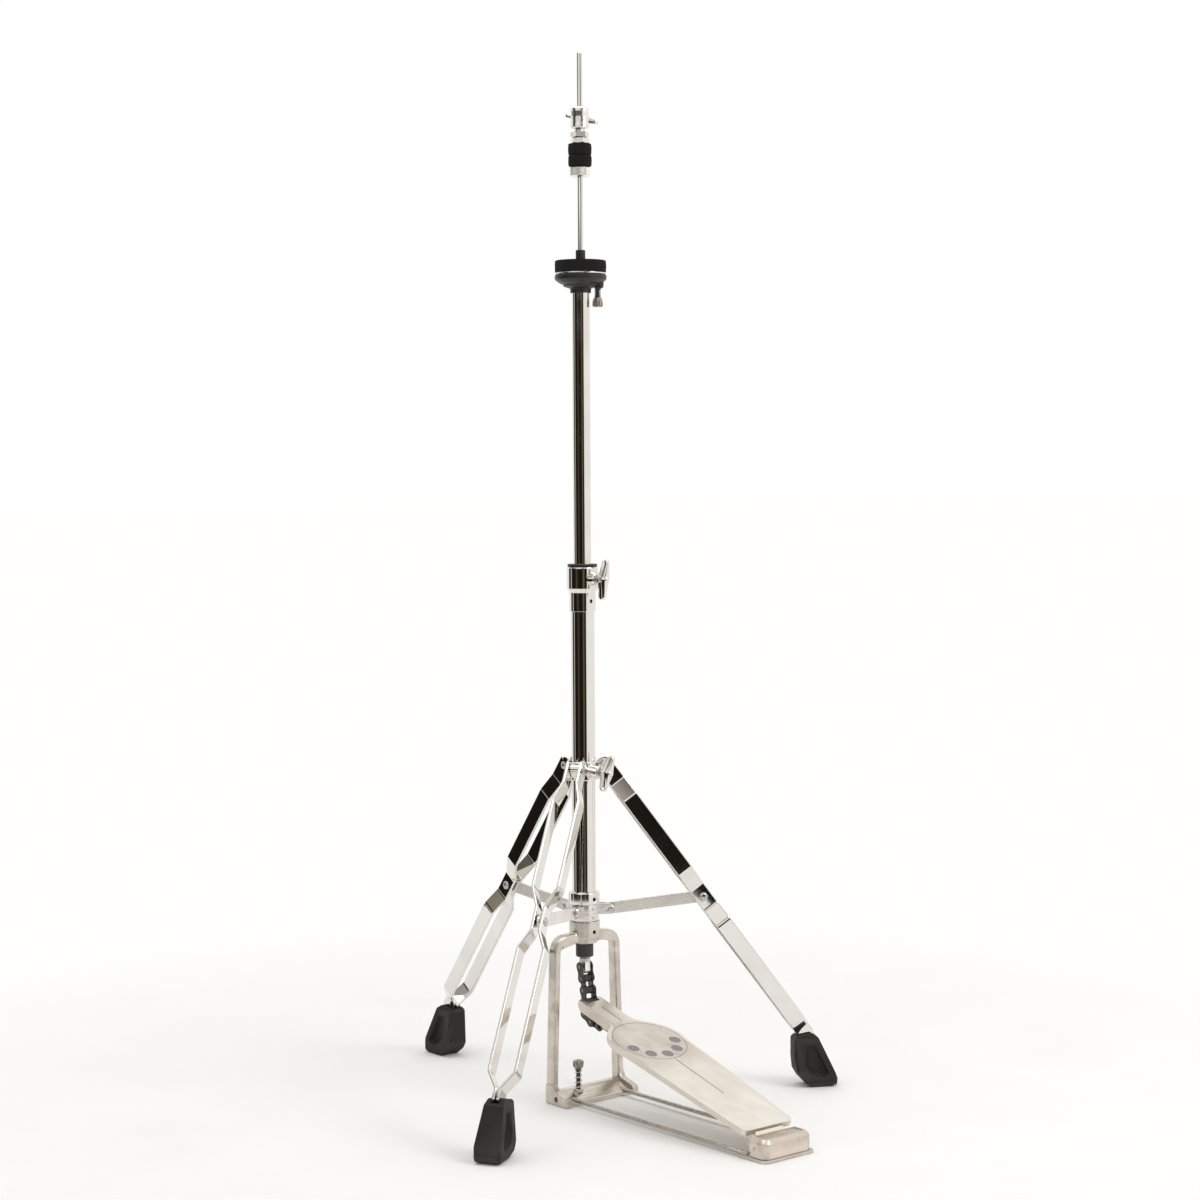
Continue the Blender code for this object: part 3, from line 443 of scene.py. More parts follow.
def cast_aluminium(name, light, dark, rough=(0.20, 0.36), grain=0.16):
    """Polished cast aluminium: a warm, slightly mottled skin over a fine grain, brighter on its edges."""
    made, tree, shader = blank(name, 1.0, 0.38)
    cloud = noise(tree, 48, 6.0, distortion=0.8)
    grains = noise(tree, 1500, 3.0)
    body = tint(tree, spread(tree, cloud, 0.0, 1.0, 0.32, 0.68), light, dark)
    bright = tuple(min(1.0, 1.08 * c) for c in light)
    tree.links.new(tint(tree, edges(tree), body, bright), shader.inputs["Base Color"])
    tree.links.new(spread(tree, cloud, *rough, 0.30, 0.70), shader.inputs["Roughness"])
    dents = bump(tree, shader, noise(tree, 130, 4.0), 0.12, 0.0004)
    bump(tree, shader, grains, grain, 0.00008, dents)
    return made


DULL_TREAD = (-0.165, -0.135)


def tread_aluminium():
    """The footboard's tread: tumbled aluminium, stained by use, and duller from the disc to the toe."""
    made, tree, shader = blank("tread_aluminium", 1.0, 0.42)
    stain = noise(tree, 26, 6.0, (1.3, 0.7, 1.0), 1.1)
    patch = noise(tree, 60, 5.0, (1.2, 0.5, 1.0), 0.6)
    scuff = noise(tree, 700, 3.0, (1.0, 0.06, 0.06), 0.3)
    grain = noise(tree, 2200, 2.0)
    place = tree.nodes.new("ShaderNodeTexCoord")
    split = tree.nodes.new("ShaderNodeSeparateXYZ")
    tree.links.new(place.outputs["Object"], split.inputs[0])
    clean = tint(tree, spread(tree, stain, 0.0, 1.0, 0.34, 0.66), (0.93, 0.895, 0.85), (0.78, 0.735, 0.685))
    dull = tint(tree, spread(tree, stain, 0.0, 1.0, 0.34, 0.66), (0.68, 0.63, 0.59), (0.50, 0.46, 0.425))
    dull = tint(tree, spread(tree, patch, 0.0, 0.6, 0.50, 0.68), dull, (0.42, 0.385, 0.35))
    base = tint(tree, spread(tree, split.outputs["Y"], 0.0, 1.0, *DULL_TREAD), clean, dull)
    scuffed = tint(tree, spread(tree, scuff, 0.0, 0.35, 0.52, 0.72), base, (0.78, 0.73, 0.68))
    tree.links.new(tint(tree, edges(tree), scuffed, (0.80, 0.74, 0.65)), shader.inputs["Base Color"])
    tree.links.new(spread(tree, stain, 0.36, 0.54, 0.3, 0.7), shader.inputs["Roughness"])
    low = bump(tree, shader, scuff, 0.12, 0.00008)
    bump(tree, shader, grain, 0.25, 0.00008, low)
    return made


def plated(name, light, dark, rough=(0.22, 0.40)):
    """Zinc or oxide plating on small steel pieces, worn through on the edges."""
    made, tree, shader = blank(name, 1.0, 0.30)
    cloud = noise(tree, 260, 5.0, distortion=0.5)
    body = tint(tree, spread(tree, cloud, 0.0, 1.0), light, dark)
    worn = tuple(min(1.0, 0.25 + c) for c in light)
    tree.links.new(tint(tree, edges(tree, 0.54, 0.66), body, worn), shader.inputs["Base Color"])
    tree.links.new(spread(tree, cloud, *rough), shader.inputs["Roughness"])
    bump(tree, shader, noise(tree, 1800, 2.0), 0.15, 0.00006)
    return made


def oiled_chain():
    """Black oxide roller chain with an oil film and a little bare metal on the rims."""
    made, tree, shader = blank("oiled_chain", 0.85, 0.30)
    shader.inputs["Coat Weight"].default_value = 0.25
    shader.inputs["Coat Roughness"].default_value = 0.22
    film = noise(tree, 180, 5.0, distortion=0.8)
    body = tint(tree, spread(tree, film, 0.0, 1.0), (0.030, 0.028, 0.026), (0.075, 0.068, 0.060))
    tree.links.new(tint(tree, edges(tree, 0.55, 0.72), body, (0.22, 0.20, 0.18)), shader.inputs["Base Color"])
    tree.links.new(spread(tree, film, 0.22, 0.46), shader.inputs["Roughness"])
    bump(tree, shader, noise(tree, 1500, 3.0), 0.2, 0.00008)
    return made


def moulded(name, light, dark, rough, grain, scale=1300, specular=0.5):
    """Moulded rubber or nylon: a dusty, finely grained black."""
    made, tree, shader = blank(name, 0.0, 0.6)
    shader.inputs["Specular IOR Level"].default_value = specular
    dust = noise(tree, 60, 5.0, distortion=0.5)
    skin_grain = noise(tree, scale, 3.0)
    body = tint(tree, spread(tree, dust, 0.0, 1.0, 0.3, 0.75), dark, light)
    tree.links.new(
        tint(tree, edges(tree, 0.52, 0.66), body, tuple(1.6 * c for c in light)),
        shader.inputs["Base Color"],
    )
    tree.links.new(spread(tree, dust, *rough), shader.inputs["Roughness"])
    waves = bump(tree, shader, noise(tree, 220, 3.0), 0.10, 0.0003)
    bump(tree, shader, skin_grain, grain, 0.00012, waves)
    return made


def pressed_felt():
    """Black wool felt: matted fibres that catch light at the rim."""
    made, tree, shader = blank("pressed_felt", 0.0, 0.95)
    shader.inputs["Sheen Weight"].default_value = 0.05
    shader.inputs["Sheen Roughness"].default_value = 0.6
    shader.inputs["Sheen Tint"].default_value = (0.55, 0.52, 0.50, 1.0)
    shader.inputs["Specular IOR Level"].default_value = 0.06
    fibre = noise(tree, 1400, 6.0, (1.0, 1.0, 2.2), 1.5)
    lump = noise(tree, 240, 4.0, distortion=0.8)
    body = tint(
        tree, spread(tree, fibre, 0.0, 1.0, 0.38, 0.66), (0.0065, 0.006, 0.0055), (0.023, 0.0215, 0.0205),
    )
    tree.links.new(body, shader.inputs["Base Color"])
    tree.links.new(spread(tree, lump, 0.88, 1.0), shader.inputs["Roughness"])
    low = bump(tree, shader, lump, 0.6, 0.0006)
    bump(tree, shader, fibre, 0.9, 0.00035, low)
    return made


def enamel_grey():
    """The footboard's inlaid marks: a matt grey fill."""
    made, tree, shader = blank("enamel_grey", 0.0, 0.55)
    speck = noise(tree, 900, 4.0)
    tree.links.new(
        tint(tree, spread(tree, speck, 0.0, 1.0), (0.20, 0.185, 0.19), (0.27, 0.25, 0.255)),
        shader.inputs["Base Color"],
    )
    tree.links.new(spread(tree, speck, 0.45, 0.65), shader.inputs["Roughness"])
    bump(tree, shader, speck, 0.2, 0.00006)
    return made


def socket_black_and_hole_shade():
    """Near-black: the set screws' own black oxide, and painted shade on the walls of the holes cut with it.
    """
    made, tree, shader = blank("socket_black_and_hole_shade", 0.6, 0.5)
    grime = noise(tree, 1200, 3.0)
    tree.links.new(
        tint(tree, spread(tree, grime, 0.0, 1.0), (0.012, 0.011, 0.010), (0.035, 0.032, 0.028)),
        shader.inputs["Base Color"],
    )
    tree.links.new(spread(tree, grime, 0.35, 0.6), shader.inputs["Roughness"])
    return made


CHROME = chrome_plate()
SATIN = satin_steel("satin_steel", (0.88, 0.84, 0.795), (0.78, 0.745, 0.70), (0.08, 0.08, 1.0))
HUB_SATIN = satin_steel("hub_satin", (0.78, 0.75, 0.71), (0.66, 0.635, 0.60), (1.0, 1.0, 0.12), (0.09, 0.20))
NICKEL = satin_steel("nickel_plate", (0.90, 0.87, 0.83), (0.80, 0.77, 0.73), (1.0, 1.0, 0.12), (0.16, 0.28))
CAST = cast_aluminium("cast_aluminium", (0.68, 0.625, 0.56), (0.54, 0.49, 0.435))
HEEL_CAST = cast_aluminium("heel_casting", (0.70, 0.625, 0.55), (0.50, 0.445, 0.385), (0.26, 0.42), 0.3)
TREAD = tread_aluminium()
ZINC = plated("zinc_plate", (0.66, 0.63, 0.57), (0.48, 0.455, 0.41))
RODS = plated("rod_steel", (0.52, 0.49, 0.45), (0.34, 0.315, 0.285), (0.10, 0.22))
THUMB = plated("thumb_plate", (0.40, 0.35, 0.31), (0.27, 0.235, 0.21), (0.32, 0.5))
DARK = plated("dark_plate", (0.13, 0.115, 0.10), (0.06, 0.052, 0.045))
CHAIN = oiled_chain()
RUBBER = moulded("shoe_rubber", (0.022, 0.021, 0.020), (0.010, 0.0095, 0.009), (0.55, 0.75), 0.35, 1300, 0.3)
BUMPER = moulded("bumper_rubber", (0.050, 0.045, 0.042), (0.030, 0.027, 0.026), (0.5, 0.7), 0.3, 1300, 0.4)
NYLON = moulded("black_nylon", (0.020, 0.019, 0.018), (0.011, 0.0105, 0.010), (0.36, 0.52), 0.22, 1800, 0.4)
FELT = pressed_felt()
ENAMEL = enamel_grey()
# Near-black for black-oxide screws; on the walls of the holes it cuts it is painted shade, not the parts'
# metal.
SOCKET_BLACK_AND_HOLE_SHADE = socket_black_and_hole_shade()
ZINC_DARK = plated("spur_plate", (0.42, 0.385, 0.34), (0.20, 0.18, 0.155), (0.24, 0.38))
CHAIN_PIN = plated("pin_steel", (0.30, 0.28, 0.26), (0.12, 0.11, 0.10))
RIVET = plated("rivet_steel", (0.62, 0.60, 0.57), (0.44, 0.42, 0.39), (0.16, 0.30))


# ---------------------------------------------------------------- tubes and turned parts


ALONG_X = axes((0, 0, 0), (1, 0, 0), (0, 1, 0))
ALONG_Y = axes((0, 0, 0), (0, -1, 0), (1, 0, 0))


def make_tubes():
    for node in ("lower_tube", "upper_tube"):
        radius, low, high = turned(node)
        inner = radius - TUBE_WALL
        profile = [(inner, low), (radius, low), (radius, high), (inner, high)]
        stand_for(lathe(node + "_skin", profile, CHROME, corner=0.0004), node)
    for side in ("left", "right"):
        node = f"radius_rod_{side}"
        low, high = extent(node)
        radius = (high.x - low.x) / 2
        length = high.y - low.y
        centre = ((low.x + high.x) / 2, high.y, (low.z + high.z) / 2)
        profile = [(0, 0), (radius, 0), (radius, length), (0, length)]
        piece = lathe(node + "_skin", profile, RODS, axes(centre, FORWARD, (1, 0, 0)), 40)
        stand_for(piece, node)


SLIP = 0.0002
TUBE_WALL = 0.0012
BOLT_BORE = 0.0033
HINGE_BORE = 0.0023
LEG_PIN_BORE = 0.0028
CHAIN_BORE = 0.0025


def drill(radius, low, high, place=None, material=None, segments=32):
    """A plain round cutter between two heights on its own Z axis."""
    profile = [(0, low), (radius, low), (radius, high), (0, high)]
    # Hole walls take the cutter's material: the near-black default is painted shade inside the hole.
    return lathe("hole", profile, material or SOCKET_BLACK_AND_HOLE_SHADE, place, segments, 0)


def rectangle(half_width, half_height):
    sides = ((-1, -1), (1, -1), (1, 1), (-1, 1))
    return [(x * half_width, y * half_height) for x, y in sides]


def hexagon(corner, twist=0.0):
    angles = [math.radians(60 * k + twist) for k in range(6)]
    return [(corner * math.cos(angle), corner * math.sin(angle)) for angle in angles]


def set_screw(name, node, point, direction, radius=0.0018, depth=0.0022):
    """A socket set screw a little below the face of its hole."""
    place = axes(point, direction, (0, 0, 1))
    screw = lathe(name, [(0, -depth), (radius, -depth), (radius, 0), (0, 0)], SOCKET_BLACK_AND_HOLE_SHADE, place, 32, 0.0003)
    carve(screw, [prism("hex", hexagon(0.55 * radius), -0.6 * depth, 0.01, SOCKET_BLACK_AND_HOLE_SHADE, place)])
    return trim(screw, node)


def hole_at(point, direction, radius, depth, material):
    """A cutter for a hole drilled inwards from a point on a surface."""
    return drill(radius, -depth, 0.01, axes(point, direction, (0, 0, 1)), material)


def make_height_collar():
    """The height adjuster: a stepped chrome collar with a boss drilled for the wing bolt, its set screw and
    its nylon bush.
    """
    _, low, high = turned("height_collar")
    bore = turned("lower_tube")[0] + SLIP
    step = low + 0.024
    profile = [
        (bore, low), (0.0141, low, 0.0004), (0.0142, step - 0.0040, 0.0012),
        (0.0168, step + 0.0004, 0.0012), (0.0168, high - 0.0012, 0.0004), (0.0163, high, 0.0004),
        (bore, high),
    ]
    collar = lathe("height_collar_body", profile, CHROME, None, 128)
    axis_z = JOINTS["height_wing_turn"]["pos_m"][2]
    forward = axes((0, 0, axis_z), FORWARD, (1, 0, 0))
    boss = [
        (0, 0.0135), (0.0074, 0.0135, 0.0008), (0.0071, 0.0245, 0.0006), (0.0062, 0.0258, 0.0004),
        (0, 0.0258),
    ]
    carve(collar, [lathe("boss", boss, CHROME, forward, 64)], "UNION")
    bolt = drill(BOLT_BORE, 0.0100, 0.03, forward, CHROME)
    screw_z = low + 0.011
    # The set-screw hole's wall is painted near-black as shade.
    carve(collar, [bolt, hole_at((0, -0.0142, screw_z), FORWARD, 0.0021, 0.0045, SOCKET_BLACK_AND_HOLE_SHADE)])
    stand_for(soften(collar, 0.0003, 2, 50), "height_collar")
    set_screw("height_set_screw", "height_collar", (0, -0.0133, screw_z), FORWARD)
    radius, bush_low, bush_high = turned("height_bush")
    inner = turned("upper_tube")[0] + 0.0003
    body = bore - 0.0004
    profile = [
        (inner, bush_low), (body, bush_low), (body, high + 0.0003, 0.0001), (radius, high + 0.0003),
        (radius, bush_high, 0.0006), (inner + 0.0004, bush_high, 0.0005), (inner, bush_high - 0.0006),
    ]
    bush = lathe("height_bush_ring", profile, NYLON, None, 96)
    stand_for(carve(bush, [drill(BOLT_BORE, 0.005, 0.02, forward, NYLON, 24)]), "height_bush")


def wing_bolt(node, joint, head, span, roll, tip, deep, waist):
    """A cast wing bolt: two blunt wings that swell to a domed hub, on a threaded shank.

    `deep` is half a wing's depth at its tip, and `waist` the half depth and half thickness at the hub."""
    found = JOINTS[joint]
    side = (1, 0, 0) if abs(found["axis"][2]) < 0.5 and abs(found["axis"][0]) < 0.5 else (0, 0, 1)
    place = axes(found["pos_m"], found["axis"], side) @ Matrix.Rotation(math.radians(roll), 4, "Z")
    hub = [
        (0, head - 0.0052), (0.0050, head - 0.0052, 0.0008), (0.0058, head - 0.0010, 0.0020),
        (0.0054, head + 0.0036, 0.0022), (0.0022, head + waist[0] + 0.0018, 0.0014),
        (0, head + waist[0] + 0.0018),
    ]
    body = lathe(node + "_casting", hub, CHROME, None, 64)
    half = span / 2
    blunt = 0.0042 / half
    loops = []
    stations = 44
    for i in range(stations + 1):
        t = -math.cos(math.pi * i / stations)
        reach = abs(t)
        close = math.sqrt(max(0.0004, 1 - max(0.0, (reach - 1 + blunt) / blunt) ** 2))
        depth = (deep + (waist[0] - deep) * (1 - reach) ** 1.5) * close
        thick = (0.0023 + (waist[1] - 0.0023) * (1 - reach) ** 1.7) * (0.40 + 0.60 * close)
        middle = head + 0.0006 + 0.0012 * reach
        loop = []
        for k in range(24):
            angle = 2 * math.pi * k / 24
            across = math.copysign(abs(math.cos(angle)) ** 0.55, math.cos(angle)) * thick
            along = math.copysign(abs(math.sin(angle)) ** 0.80, math.sin(angle)) * depth
            loop.append((t * half, across, middle + along))
        loops.append(loop)
    carve(body, [loft("wings", loops, CHROME)], "UNION")
    melt(body, 0.00032, 4)
    shank = [(0, tip), (0.0024, tip, 0.0004), (0.0029, tip + 0.0007)]
    shank += threaded(0.0029, tip + 0.0010, head - 0.0056)
    shank += [(0.0029, head - 0.0047), (0, head - 0.0047)]
    thread = lathe("thread", shank, ZINC, None, 40, 0.0001, 1)
    whole = joined(node + "_cast", [body, thread])
    whole.data.transform(place)
    return stand_for(whole, node)


def make_wing_bolts():
    upper = turned("upper_tube")[0] + 0.0004
    lower = turned("lower_tube")[0] + 0.0004
    wing_bolt("height_wing_bolt", "height_wing_turn", 0.0340, 0.0430, 82, upper, 0.0048, (0.0062, 0.0054))
    wing_bolt("leg_wing_bolt", "leg_wing_turn", 0.0375, 0.0390, 70, lower, 0.0052, (0.0070, 0.0060))
    wing_bolt("clutch_wing_bolt", "clutch_wing_turn", 0.0190, 0.0360, 104, 0.0033, 0.0036, (0.0052, 0.0058))


def knurl(count, depth):
    """A ripple for turned grips. It fades out on the axis."""
    return lambda radius, z, angle: -depth * (0.5 + 0.5 * math.cos(count * angle)) if radius > 0.004 else 0.0


def threaded(radius, low, high, pitch=0.0010, depth=0.0004):
    """A profile of thread crests between two heights."""
    points = []
    z = low
    while z < high:
        points += [(radius, z, 0.0001), (radius - depth, z + pitch / 2, 0.0001)]
        z += pitch
    return points


# ---------------------------------------------------------------- clutch and pull rod


def make_rod():
    radius, low, high = turned("upper_pull_rod")
    profile = [
        (0, low), (radius, low, 0.0002), (radius, high - 0.0009, 0.0012), (0.0012, high, 0.0008), (0, high),
    ]
    stand_for(lathe("upper_rod", profile, CHROME, None, 64), "upper_pull_rod")
    node_radius, low, high = turned("lower_pull_rod")
    joint = low + 0.1865
    profile = [(0, low), (radius, low)] + threaded(radius, low + 0.001, low + 0.012)
    profile += [
        (radius, low + 0.013), (radius, joint), (node_radius, joint + 0.001), (node_radius, high),
        (radius + 0.0003, high), (radius + 0.0003, joint + 0.0167), (0, joint + 0.0167),
    ]
    stand_for(lathe("lower_rod", profile, ZINC, None, 48, 0.0001, 1), "lower_pull_rod")
    for node in ("spring_cap", "spring_seat"):
        outer, low, high = turned(node)
        inner = radius + (0.0003 if node == "spring_cap" else 0.0006)
        profile = [(inner, low), (outer, low), (outer, high), (inner, high)]
        stand_for(lathe(node + "_disc", profile, ZINC, None, 64, 0.0005), node)
    low, high = extent("return_spring")
    wire = 0.0008
    spring = coil("return_spring_coil", high.x - wire, wire, low.z, high.z, 9, ZINC)
    even_normals(spring)
    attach(spring, "stand")
    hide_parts("return_spring")
    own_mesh(spring)


def hex_nut(name, across, low, high, bore, material, twist=0.0):
    """A hexagon nut with turned chamfers, `across` its corners."""
    corner = across / 2
    outline = hexagon(corner, twist)
    nut = prism(name, outline, low, high, material)
    edge = 0.10 * across
    cone = [
        (0, low), (corner - edge, low), (corner, low + 0.45 * edge), (corner, high - 0.45 * edge),
        (corner - edge, high), (0, high),
    ]
    carve(nut, [lathe("cone", cone, material, None, 96, 0)], "INTERSECT")
    carve(nut, [drill(bore, low - 0.01, high + 0.01, None, material, 48)])
    return soften(nut, 0.00025, 2, 20)


def felt_ring(name, inner, outer, low, high, seed):
    """A felt washer with soft, slightly uneven sides."""
    steps = 7
    profile = [
        (inner, low + 0.0003), (inner + 0.0006, low), (outer - 0.0009, low),
    ]
    for i in range(steps + 1):
        t = i / steps
        z = low + 0.0007 + (high - low - 0.0014) * t
        bulge = 0.0003 * math.sin(math.pi * t)
        profile.append((outer - 0.0003 + bulge, z, 0.0002))
    profile += [(outer - 0.0009, high), (inner + 0.0006, high), (inner, high - 0.0003)]

    def uneven(radius, z, angle):
        if radius < inner + 0.001:
            return 0.0
        wave = math.sin(3 * angle + seed) + 0.6 * math.sin(7 * angle + 2.3 * seed + 900 * z)
        wave += 0.5 * math.sin(17 * angle - seed + 2600 * z) + 0.35 * math.sin(41 * angle + 4300 * z)
        return 0.00007 * wave - 0.00012

    return lathe(name, profile, FELT, None, 192, 0.0005, 3, uneven)


def make_clutch():
    """The clutch: body, threaded tube, two lock nuts, two felts and the bottom nut."""
    radius, low, high = turned("clutch_body")
    bore = 0.0033
    profile = [
        (bore, low + 0.0045), (0.0058, low + 0.0045), (0.0058, low), (0.0088, low, 0.0005),
        (0.0098, low + 0.0012, 0.0006), (0.0095, low + 0.0055, 0.003), (0.0094, low + 0.0120, 0.004),
        (0.0098, high - 0.0045, 0.003), (0.0097, high - 0.0014, 0.0012), (0.0078, high, 0.0008),
        (bore, high),
    ]
    body = lathe("clutch_body_turned", profile, NICKEL, None, 128)
    joint = JOINTS["clutch_wing_turn"]
    spot = Vector(joint["pos_m"]) + Vector(joint["axis"]) * 0.0098
    carve(body, [hole_at(spot, joint["axis"], 0.0033, 0.0068, NICKEL)])
    stand_for(body, "clutch_body")
    outer, tube_low, tube_high = turned("clutch_tube")
    nuts_low, nuts_high = (point.z for point in extent("clutch_lock_nuts"))
    profile = [(bore, tube_low), (outer - 0.0003, tube_low)]
    profile += threaded(outer, tube_low + 0.0004, tube_high - 0.0004)
    profile += [(outer - 0.0003, tube_high), (bore, tube_high)]
    stand_for(lathe("clutch_tube_thread", profile, NICKEL, None, 64, 0.0001, 1), "clutch_tube")
    middle = (nuts_low + nuts_high) / 2
    across = 2 * turned("clutch_lock_nuts")[0]
    lower_nut = hex_nut("lock_nut_low", across, nuts_low, middle - 0.0002, 0.0058, NICKEL, 8)
    upper_nut = hex_nut("lock_nut_high", across, middle + 0.0002, nuts_high, 0.0058, NICKEL, 27)
    stand_for(joined("clutch_lock_nut_pair", [lower_nut, upper_nut]), "clutch_lock_nuts")
    for seed, node in enumerate(("clutch_upper_felt", "clutch_lower_felt")):
        radius, low, high = turned(node)
        stand_for(felt_ring(node + "_washer", 0.0058, radius, low, high, 1.0 + 2.1 * seed), node)
    radius, low, high = turned("clutch_bottom_nut")
    profile = [
        (bore, low, 0.0003), (0.0092, low, 0.0006), (radius, low + 0.0012, 0.0004),
        (radius, high - 0.0014, 0.0004), (0.0098, high, 0.0004), (0.0058, high), (0.0058, low + 0.0032),
        (bore, low + 0.0032),
    ]

    def grip(reach, z, angle):
        inside = low + 0.0013 < z < high - 0.0015
        return -0.00022 * (0.5 + 0.5 * math.cos(48 * angle)) if inside and reach > 0.009 else 0.0

    stand_for(lathe("clutch_nut_turned", profile, NICKEL, None, 384, 0.0003, 3, grip), "clutch_bottom_nut")


# ---------------------------------------------------------------- bottom cymbal seat


def make_seat():
    """The bottom cymbal's seat: cup, tilting washer, felt, sleeve and tilter screw."""
    tube_radius, _, tube_top = turned("upper_tube")
    rim, low, top = turned("seat_cup")
    bore = tube_radius + 0.0003
    profile = [
        (bore, low), (0.0110, low, 0.0005), (0.0111, low + 0.0046, 0.0012), (0.0178, low + 0.0068, 0.0012),
        (0.0190, low + 0.0088, 0.0006), (0.0232, low + 0.0108, 0.004), (rim - 0.0002, low + 0.0140, 0.0014),
        (rim, top - 0.0010, 0.0008), (rim - 0.0012, top, 0.0005), (0.0082, top), (0.0082, top - 0.0064),
        (0.0045, top - 0.0064), (0.0045, tube_top + 0.0003), (bore, tube_top + 0.0003),
    ]
    cup = lathe("seat_cup_moulding", profile, NYLON, None, 128)
    screw_x, screw_y = JOINTS["tilter_turn"]["pos_m"][:2]
    spot = Matrix.Translation((screw_x, screw_y, 0))
    out = Vector((screw_x, screw_y, 0)).normalized()
    shape = [
        (0, low + 0.0050), (0.0045, low + 0.0050, 0.0008), (0.0052, low + 0.0080, 0.001),
        (0.0052, low + 0.0145), (0, low + 0.0145),
    ]
    lug = lathe("lug", shape, NYLON, Matrix.Translation(out * 0.0012) @ spot, 48)
    carve(cup, [lug], "UNION")
    stand_for(carve(cup, [drill(0.0025, 0.85, 0.90, spot, NYLON)]), "seat_cup")
    radius, low, high = turned("seat_sleeve")
    profile = [
        (0.0037, low), (radius, low), (radius, low + 0.0024), (0.0051, low + 0.0030, 0.0008),
        (0.0051, high, 0.0011), (0.0040, high, 0.0004), (0.0037, high - 0.0006),
    ]
    stand_for(lathe("seat_sleeve_moulding", profile, NYLON, None, 64), "seat_sleeve")
    radius, low, high = turned("seat_washer")
    profile = [(0.0085, low), (radius, low), (radius, high), (0.0085, high)]
    stand_for(lathe("seat_washer_disc", profile, CHROME, None, 128, 0.0004), "seat_washer")
    radius, low, high = turned("seat_felt")
    stand_for(felt_ring("seat_felt_pad", 0.0068, radius, low, high, 0.4), "seat_felt")
    make_tilter(spot)


def make_tilter(spot):
    """The thumb screw that tips the seat, with its lock spring."""
    low, high = extent("tilter_screw")
    bottom, tip = low.z, high.z
    neck = bottom + 0.0105
    head = [
        (0, bottom), (0.0048, bottom, 0.0008), (0.0057, bottom + 0.0012, 0.0008),
        (0.0054, bottom + 0.0062, 0.0014), (0.0040, neck - 0.0006, 0.0008), (0.0026, neck), (0, neck),
    ]

    def flutes(radius, z, angle):
        fade = min(1.0, max(0.0, (radius - 0.0036) / 0.0014))
        return -0.00042 * fade * (0.5 + 0.5 * math.cos(9 * angle)) ** 1.5

    thumb = lathe("tilter_thumb", head, THUMB, spot, 144, 0.0004, 3, flutes)
    profile = [(0, neck - 0.0003), (0.0020, neck - 0.0003)]
    profile += threaded(0.0022, neck, tip - 0.0016, 0.0008, 0.0003)
    profile += [(0.0017, tip - 0.0006), (0.0010, tip), (0, tip)]
    thread = lathe("tilter_thread", profile, DARK, spot, 40, 0.0001, 1)
    stand_for(joined("tilter_thumb_screw", [thumb, thread]), "tilter_screw")
    lock = coil("tilter_spring", 0.0031, 0.00052, neck + 0.0001, neck + 0.0092, 5, DARK, spot)
    trim(lock, "tilter_screw")


# ---------------------------------------------------------------- base


def yoke_loops():
    """Loops of the inverted U, from the left foot to the right: a rounded bar, wider at the collar."""
    high = extent("base_casting")[1]
    wall, depth = 0.0076, 0.0126
    foot = high.x - 0.0002 - wall / 2
    shoulder = foot - 0.0056
    crown = 0.1732
    half = fillet([(-foot, 0.0005), (-shoulder, crown), (0.0, crown)], 0.0125, False, 10)
    extra = [(-shoulder + (shoulder - 0.004) * t, crown) for t in (0.45, 0.55, 0.65, 0.75, 0.85, 1.0)]
    half = half[:-1] + extra
    path = half + [(-x, z) for x, z in reversed(half)]
    points = [Vector(point) for point in path]
    loops = []
    for i, here in enumerate(points):
        back = points[max(i - 1, 0)]
        ahead = points[min(i + 1, len(points) - 1)]
        along = (ahead - back).normalized()
        side = Vector((-along.y, along.x))
        swell = min(1.0, max(0.0, (shoulder + 0.002 - abs(here.x)) / 0.024)) if here.y > 0.16 else 0.0
        half_wall = wall / 2 + 0.0020 * swell
        section = fillet(rectangle(half_wall, depth / 2), 0.0021)
        loops.append([(here.x + side.x * a, y, here.y + side.y * a) for a, y in section])
    return loops


FOOT_SCREW = (-0.0120, 0.0068)


